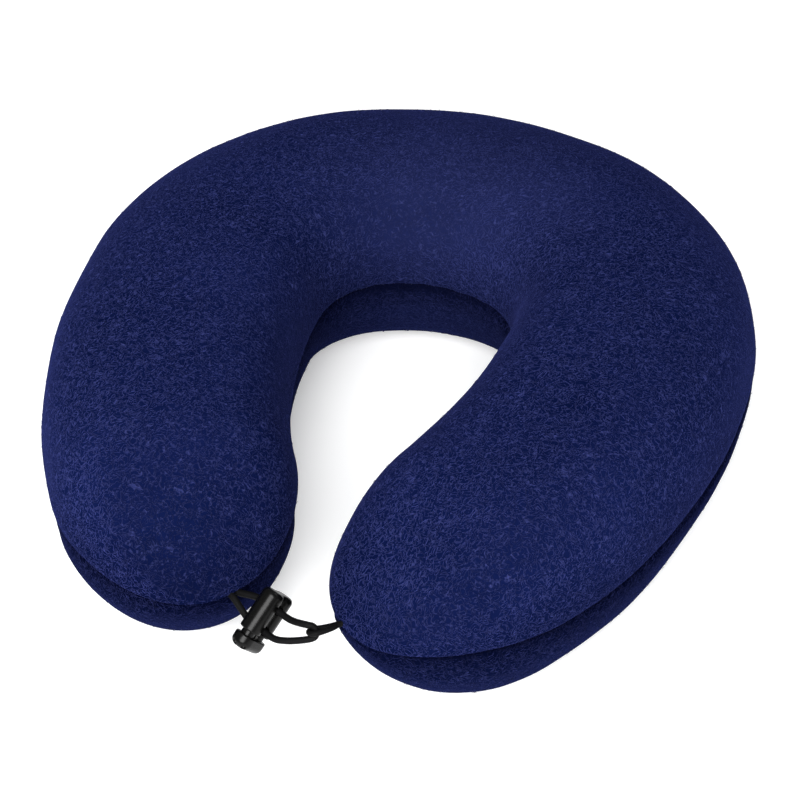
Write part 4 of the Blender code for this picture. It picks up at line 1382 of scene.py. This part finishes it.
def pull_tab():
    look = looks["metal"]
    place = SLIDER_FRAME @ Matrix.Translation((0, bail_height, 0))
    foot, half = -(TAB_LENGTH - EYE_RADIUS), TAB_THICKNESS / 2
    outline = tab_outline(TAB_WIDTH / 2, foot, TAB_TOP)
    flat = loft("tab_flat", [[(x, y, z) for x, z in outline] for y in (-half, half)], look, place)
    for side in (-1, 1):
        dish = tab_outline(TAB_WIDTH / 2 - BORDER, foot + BORDER, DISH_TOP)
        levels = sorted((side * (half - RECESS), side * (half + 0.001)))
        rings = [[(x, y, z) for x, z in dish] for y in levels]
        combine(flat, loft("dish", rings, look, place), "DIFFERENCE")
    settle(flat)
    soften(flat, 0.00012, 2)
    turns = 2 * np.pi * np.arange(40) / 40
    reach = TAB_WIDTH / 2
    profile = [(-reach, EYE_RADIUS - 0.0002), (-reach + 0.0002, EYE_RADIUS), (reach - 0.0002, EYE_RADIUS),
               (reach, EYE_RADIUS - 0.0002), (reach, EYE_RADIUS - EYE_WALL + 0.0001),
               (reach - 0.0001, EYE_RADIUS - EYE_WALL), (-reach + 0.0001, EYE_RADIUS - EYE_WALL),
               (-reach, EYE_RADIUS - EYE_WALL + 0.0001)]
    points = [place @ Vector((x, r * math.cos(a), r * math.sin(a))) for a in turns for x, r in profile]
    index = np.arange(len(points)).reshape(len(turns), len(profile))
    after, beside = np.roll(index, -1, axis=0), np.roll(index, -1, axis=1)
    faces = np.stack([index, beside, np.roll(beside, -1, axis=0), after], axis=-1)
    eye = link_mesh("tab_eye", points, faces.reshape(-1, 4).tolist(), look)
    clean(eye)
    return joined("tab", [flat, eye])


tab = pull_tab()
print("tab faces:", len(tab.data.polygons))

# %% [markdown]
# ## Cord lock
#
# The lock is a black nylon barrel and a spring-loaded plunger. In section the barrel is two round lobes
# with a waist, which the cords cross through two holes, and the plunger's head is the same oval with its
# waist filled. Moulded nylon has full, round edges, so the ends are lofted through rings that draw in
# along a quarter circle, instead of being cut square.

# %% Sizes of the cord lock
LOCK_PLACE = Vector((-0.0063, -0.1465, 0.0458))
LOCK_AXIS = Vector((-0.369, -0.689, -0.624)).normalized()
CORD_WAY = Vector((0.895, -0.444, -0.040))
LOBE_RADIUS, LOBE_OFFSET, LOCK_WALL = 0.0042, 0.0034, 0.0012
LOBE_SWEEP, WAIST_SHARE = math.radians(135), 0.9
LOCK_LENGTH, BARREL_LENGTH, HEAD_GAP = 0.024, 0.017, 0.0018
HOLES = (-0.0063, 0.0026)
HOLE_RADIUS, HOLE_FLARE = 0.0018, 0.0005
LEG_RADIUS, LEG_BORE, WEB = 0.0026, 0.0019, 0.0009
LEG_END_ROOM, SPRING_DEPTH, PLUNGER_TRAVEL = 0.0024, 0.0098, 0.0015
END_ROUNDING, MOUTH_ROUNDING, HEAD_ROUNDING = 0.0020, 0.0006, 0.0027
DIMPLES, DIMPLE_LEVEL, DIMPLE_RADIUS = ((-0.0007, 0.0065), (0.0026, 0.0051)), 0.0010, 0.0010
LOBE_STEPS = 36
HEAD_FOOT_ROUNDING, LEG_ROOT, SLOT_REACH = 0.0006, 0.0012, 0.0084
# size of the oval and height above the head's end, for each ring of the dome
HEAD_DOME = ((0.8, 0.00014), (0.55, 0.00025), (0.25, 0.00032), (0.02, 0.00034))
BORE_REACHES = (-0.0060, -0.0042, -0.0034, -0.0028, -0.0024, 0.0024, 0.0028, 0.0034, 0.0042, 0.0060)
FLARE_FROM, FLARE_TO = 0.0022, 0.0042
SHARP_ANGLE = math.radians(42)


def lock_frame():
    way = (CORD_WAY - CORD_WAY.dot(LOCK_AXIS) * LOCK_AXIS).normalized()
    made = Matrix((way, LOCK_AXIS.cross(way), LOCK_AXIS)).transposed().to_4x4()
    made.translation = LOCK_PLACE
    return made


LOCK = lock_frame()
LOCK_START = -LOCK_LENGTH / 2
LOCK_MOUTH = LOCK_START + BARREL_LENGTH
print("lock, mm:", round(1000 * LOCK_LENGTH, 1), "long")


# %% Outlines and rings
def lobed_outline(inset, size=1.0):
    """Two round lobes side by side, joined by a waist, seen along the lock's long axis."""
    radius = LOBE_RADIUS - inset
    sweep = min(LOBE_SWEEP, math.acos(max(-1, -WAIST_SHARE * LOBE_OFFSET / radius)))
    turns = np.linspace(-sweep, sweep, LOBE_STEPS + 1)
    near = np.stack([radius * np.sin(turns), LOBE_OFFSET + radius * np.cos(turns)], axis=1)
    return size * np.concatenate([near, -near])


def oval_outline(inset, size=1.0):
    """The same two lobes with their waist filled, for the plunger's head."""
    radius = LOBE_RADIUS - inset
    turns = np.linspace(-math.pi / 2, math.pi / 2, LOBE_STEPS + 1)
    near = np.stack([radius * np.sin(turns), LOBE_OFFSET + radius * np.cos(turns)], axis=1)
    return size * np.concatenate([near, -near])


def ring_at(outline, level):
    return np.concatenate([outline, np.full((len(outline), 1), level)], axis=1)


def rounded_rings(outline, low, high, rounding_low, rounding_high):
    """Rings from low to high whose ends draw in along quarter circles."""
    bend = np.linspace(0, math.pi / 2, 9)
    rings = []
    for a in bend:
        level = low + rounding_low * (1 - math.cos(a))
        rings.append(ring_at(outline(rounding_low * (1 - math.sin(a))), level))
    for a in bend:
        level = high - rounding_high * (1 - math.sin(a))
        rings.append(ring_at(outline(rounding_high * (1 - math.cos(a))), level))
    return rings


def round_bar(radius, middle, low, high):
    """Rings of a round bar along the lock's axis."""
    turns = 2 * np.pi * np.arange(32) / 32
    return [
        [(middle[0] + radius * math.cos(a), middle[1] + radius * math.sin(a), level) for a in turns]
        for level in (low, high)
    ]


def cross_hole(hole, radius, flare, look, place):
    """A bore across the waist, which opens like a trumpet at both ends."""
    turns = 2 * np.pi * np.arange(32) / 32
    rings = []
    for reach in BORE_REACHES:
        wide = radius + flare * smoothstep(abs(reach), FLARE_FROM, FLARE_TO)
        rings.append([(reach, wide * math.cos(a), hole + wide * math.sin(a)) for a in turns])
    return loft("bore", rings, look, place)


def plastic_material():
    made, tree, shader = new_material("black_nylon", 0.3)
    place = object_place(tree)
    skin = noise(tree, place, 900, 3.0)
    cloud = noise(tree, place, 160, 2.0)
    colour = blend_colours(tree, cloud, (0.0010, 0.0010, 0.0010), (0.0022, 0.0022, 0.0021))
    shader.inputs["Specular IOR Level"].default_value = 0.11
    finish_shader(tree, shader, colour, ramp_between(tree, skin, 0.22, 0.32), skin, 0.000020)
    return made


looks["plastic"] = plastic_material()
print("plastic:", looks["plastic"].name)


# %% Barrel
def lock_barrel():
    look = looks["plastic"]
    floor_level = LOCK_START + LOCK_WALL
    outside = rounded_rings(lobed_outline, LOCK_START, LOCK_MOUTH, END_ROUNDING, MOUTH_ROUNDING)
    barrel = loft("barrel", outside, look, LOCK)
    rings = [ring_at(lobed_outline(inset), level) for inset, level in (
        (LOCK_WALL + 0.0004, floor_level), (LOCK_WALL, floor_level + 0.0004),
        (LOCK_WALL, LOCK_MOUTH - 0.0004), (LOCK_WALL - 0.0004, LOCK_MOUTH + 0.0002))]
    combine(barrel, loft("cavity", rings, look, LOCK), "DIFFERENCE")
    for hole in HOLES:
        combine(barrel, cross_hole(hole, HOLE_RADIUS, HOLE_FLARE, look, LOCK), "DIFFERENCE")
    settle(barrel)
    barrel.data.set_sharp_from_angle(angle=SHARP_ANGLE)
    return barrel


barrel = lock_barrel()
print("barrel faces:", len(barrel.data.polygons))


# %% Plunger
def dimple_ball(middle, radius, look):
    ball = bmesh.new()
    place = Matrix.Translation(middle)
    bmesh.ops.create_uvsphere(ball, u_segments=24, v_segments=14, radius=radius, matrix=place)
    mesh = bpy.data.meshes.new("dimple")
    ball.to_mesh(mesh)
    ball.free()
    made = bpy.data.objects.new("dimple", mesh)
    mesh.materials.append(look)
    bpy.context.scene.collection.objects.link(made)
    return made


def lock_plunger():
    look = looks["plastic"]
    top = LOCK_START + LOCK_LENGTH
    head_low = LOCK_MOUTH + HEAD_GAP
    leg_low = LOCK_START + LOCK_WALL + LEG_END_ROOM
    leg_root = head_low + LEG_ROOT
    rings = rounded_rings(oval_outline, head_low, top, HEAD_FOOT_ROUNDING, HEAD_ROUNDING)
    for size, rise in HEAD_DOME:
        rings.append(ring_at(oval_outline(HEAD_ROUNDING, size), top + rise))
    head = loft("plunger", rings, look, LOCK)
    corners = ((-WEB, -LOBE_OFFSET), (WEB, -LOBE_OFFSET), (WEB, LOBE_OFFSET), (-WEB, LOBE_OFFSET))
    web = [[(x, y, level) for x, y in corners] for level in (leg_low, leg_root)]
    combine(head, loft("web", web, look, LOCK), "UNION")
    for side in (1, -1):
        middle = (0, side * LOBE_OFFSET)
        leg = round_bar(LEG_RADIUS, middle, leg_low, leg_root)
        combine(head, loft("leg", leg, look, LOCK), "UNION")
    for x, y in DIMPLES:
        ball = LOCK @ Vector((x, y, top - DIMPLE_LEVEL))
        combine(head, dimple_ball(ball, DIMPLE_RADIUS, look), "DIFFERENCE")
    for side in (1, -1):
        middle = (0, side * LOBE_OFFSET)
        bore = round_bar(LEG_BORE, middle, leg_low - 0.001, LOCK_START + LOCK_WALL + SPRING_DEPTH)
        combine(head, loft("leg_bore", bore, look, LOCK), "DIFFERENCE")
    for hole in HOLES:
        reach = LEFT_CORD / 2 + FIT_GAP
        low, high = hole - reach, hole + reach + PLUNGER_TRAVEL
        corners = ((-reach, low), (reach, low), (reach, high), (-reach, high))
        slot = [[(x, y, z) for y, z in corners] for x in (-SLOT_REACH, SLOT_REACH)]
        combine(head, loft("slot", slot, look, LOCK), "DIFFERENCE")
    settle(head)
    head.data.set_sharp_from_angle(angle=SHARP_ANGLE)
    return head


plunger = lock_plunger()
print("plunger faces:", len(plunger.data.polygons))

# %% [markdown]
# ## Cord anchors
#
# Inside each tip, the cord's two ends are caught in a folded scrap of tape that is sewn into the seam.

# %% Cord anchors
EXIT_PLACES = {"left": (-0.0194, -0.13897, 0.0488), "right": (0.0223, -0.14222, 0.0488)}
ANCHOR_MOST_WIDE, ANCHOR_HALF_THICK, ANCHOR_HALF_TALL = 0.0064, 0.0002, 0.0025


def make_anchor(word):
    low, high = (Vector(corner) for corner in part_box(f"{word}_cord_anchor"))
    middle = (low + high) / 2
    way = (Vector(EXIT_PLACES[word]) - middle).to_2d().to_3d().normalized()
    across = way.cross(Vector((0, 0, 1)))
    place = Matrix((across, way, Vector((0, 0, 1)))).transposed().to_4x4()
    place.translation = middle
    wide = min(high.x - low.x, ANCHOR_MOST_WIDE) / 2
    thick, tall = ANCHOR_HALF_THICK, ANCHOR_HALF_TALL
    return block(f"anchor_{word}", (-wide, wide), (-thick, thick), (-tall, tall), looks["tape"],
                 place, 0.0001)


anchors = {word: make_anchor(word) for word in EXIT_PLACES}
print("anchors:", list(anchors))

# %% [markdown]
# ## Wire and metal of the kept pieces
#
# The springs and the zip's stops are simple enough as the CAD has them, so they keep its meshes and only
# gain a finish. Spring wire is drawn through a die, which leaves fine marks along it.

# %% Kept pieces
def steel_material():
    made, tree, shader = new_material("drawn_wire", 0.3, 1.0)
    marks = noise(tree, object_place(tree), 1800, 3.0)
    colour = blend_colours(tree, marks, (0.45, 0.45, 0.47), (0.66, 0.66, 0.68))
    finish_shader(tree, shader, colour, ramp_between(tree, marks, 0.22, 0.40), marks, 0.00002)
    return made


looks["steel"] = steel_material()
KEPT = {
    "cord_lock_spring_near": "steel", "cord_lock_spring_far": "steel",
    "zip_top_stop_upper": "metal", "zip_top_stop_lower": "metal", "zip_bottom_stop": "metal",
}
for name, look in KEPT.items():
    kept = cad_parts[name]
    kept.data.materials.clear()
    kept.data.materials.append(looks[look])
print("kept from the CAD:", list(KEPT))

# %% [markdown]
# ## Bodies
#
# Each piece rides the body that it moves with, and replaces the CAD pieces that it redraws. The cords and
# the cover are soft.

# %% Bodies
PIECES = (
    # piece, body, slot, CAD nodes that it redraws
    (panels[1], "pillow", "pile_fabric", ("cover_top_panel",)),
    (panels[-1], "pillow", "pile_fabric", ("cover_bottom_panel",)),
    (fibres[1], "pillow", "pile_fabric", ()),
    (fibres[-1], "pillow", "pile_fabric", ()),
    (liners[1], "pillow", "liner_fabric", ("liner_upper",)),
    (liners[-1], "pillow", "liner_fabric", ("liner_lower",)),
    (foam_pad, "pillow", "foam", ("foam_core",)),
    (tapes[1], "pillow", "zip_tape", ("zip_tape_upper",)),
    (tapes[-1], "pillow", "zip_tape", ("zip_tape_lower",)),
    (coils[1], "pillow", "zip_coil", ("zip_coil_upper",)),
    (coils[-1], "pillow", "zip_coil", ("zip_coil_lower",)),
    (topstitch, "pillow", "zip_tape", ()),
    (seam_thread, "pillow", "zip_tape", ()),
    (bar_tacks, "pillow", "zip_tape", ()),
    (anchors["left"], "pillow", "zip_tape", ("left_cord_anchor",)),
    (anchors["right"], "pillow", "zip_tape", ("right_cord_anchor",)),
    (left_cord, "pillow", "cord", ("left_cord",)),
    (right_cord, "pillow", "cord", ("right_cord",)),
    (slider, "slider", "zip_metal", ("zip_slider",)),
    (tab, "pull_tab", "zip_metal", ("zip_pull_tab",)),
    (barrel, "cord_lock", "lock_plastic", ("cord_lock_barrel",)),
    (plunger, "lock_plunger", "lock_plastic", ("cord_lock_plunger",)),
)
for piece, body, slot, nodes in PIECES:
    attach(piece, body)
    if nodes:
        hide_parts(*nodes)
print("pieces:", len(PIECES))

# %% End
print("done")
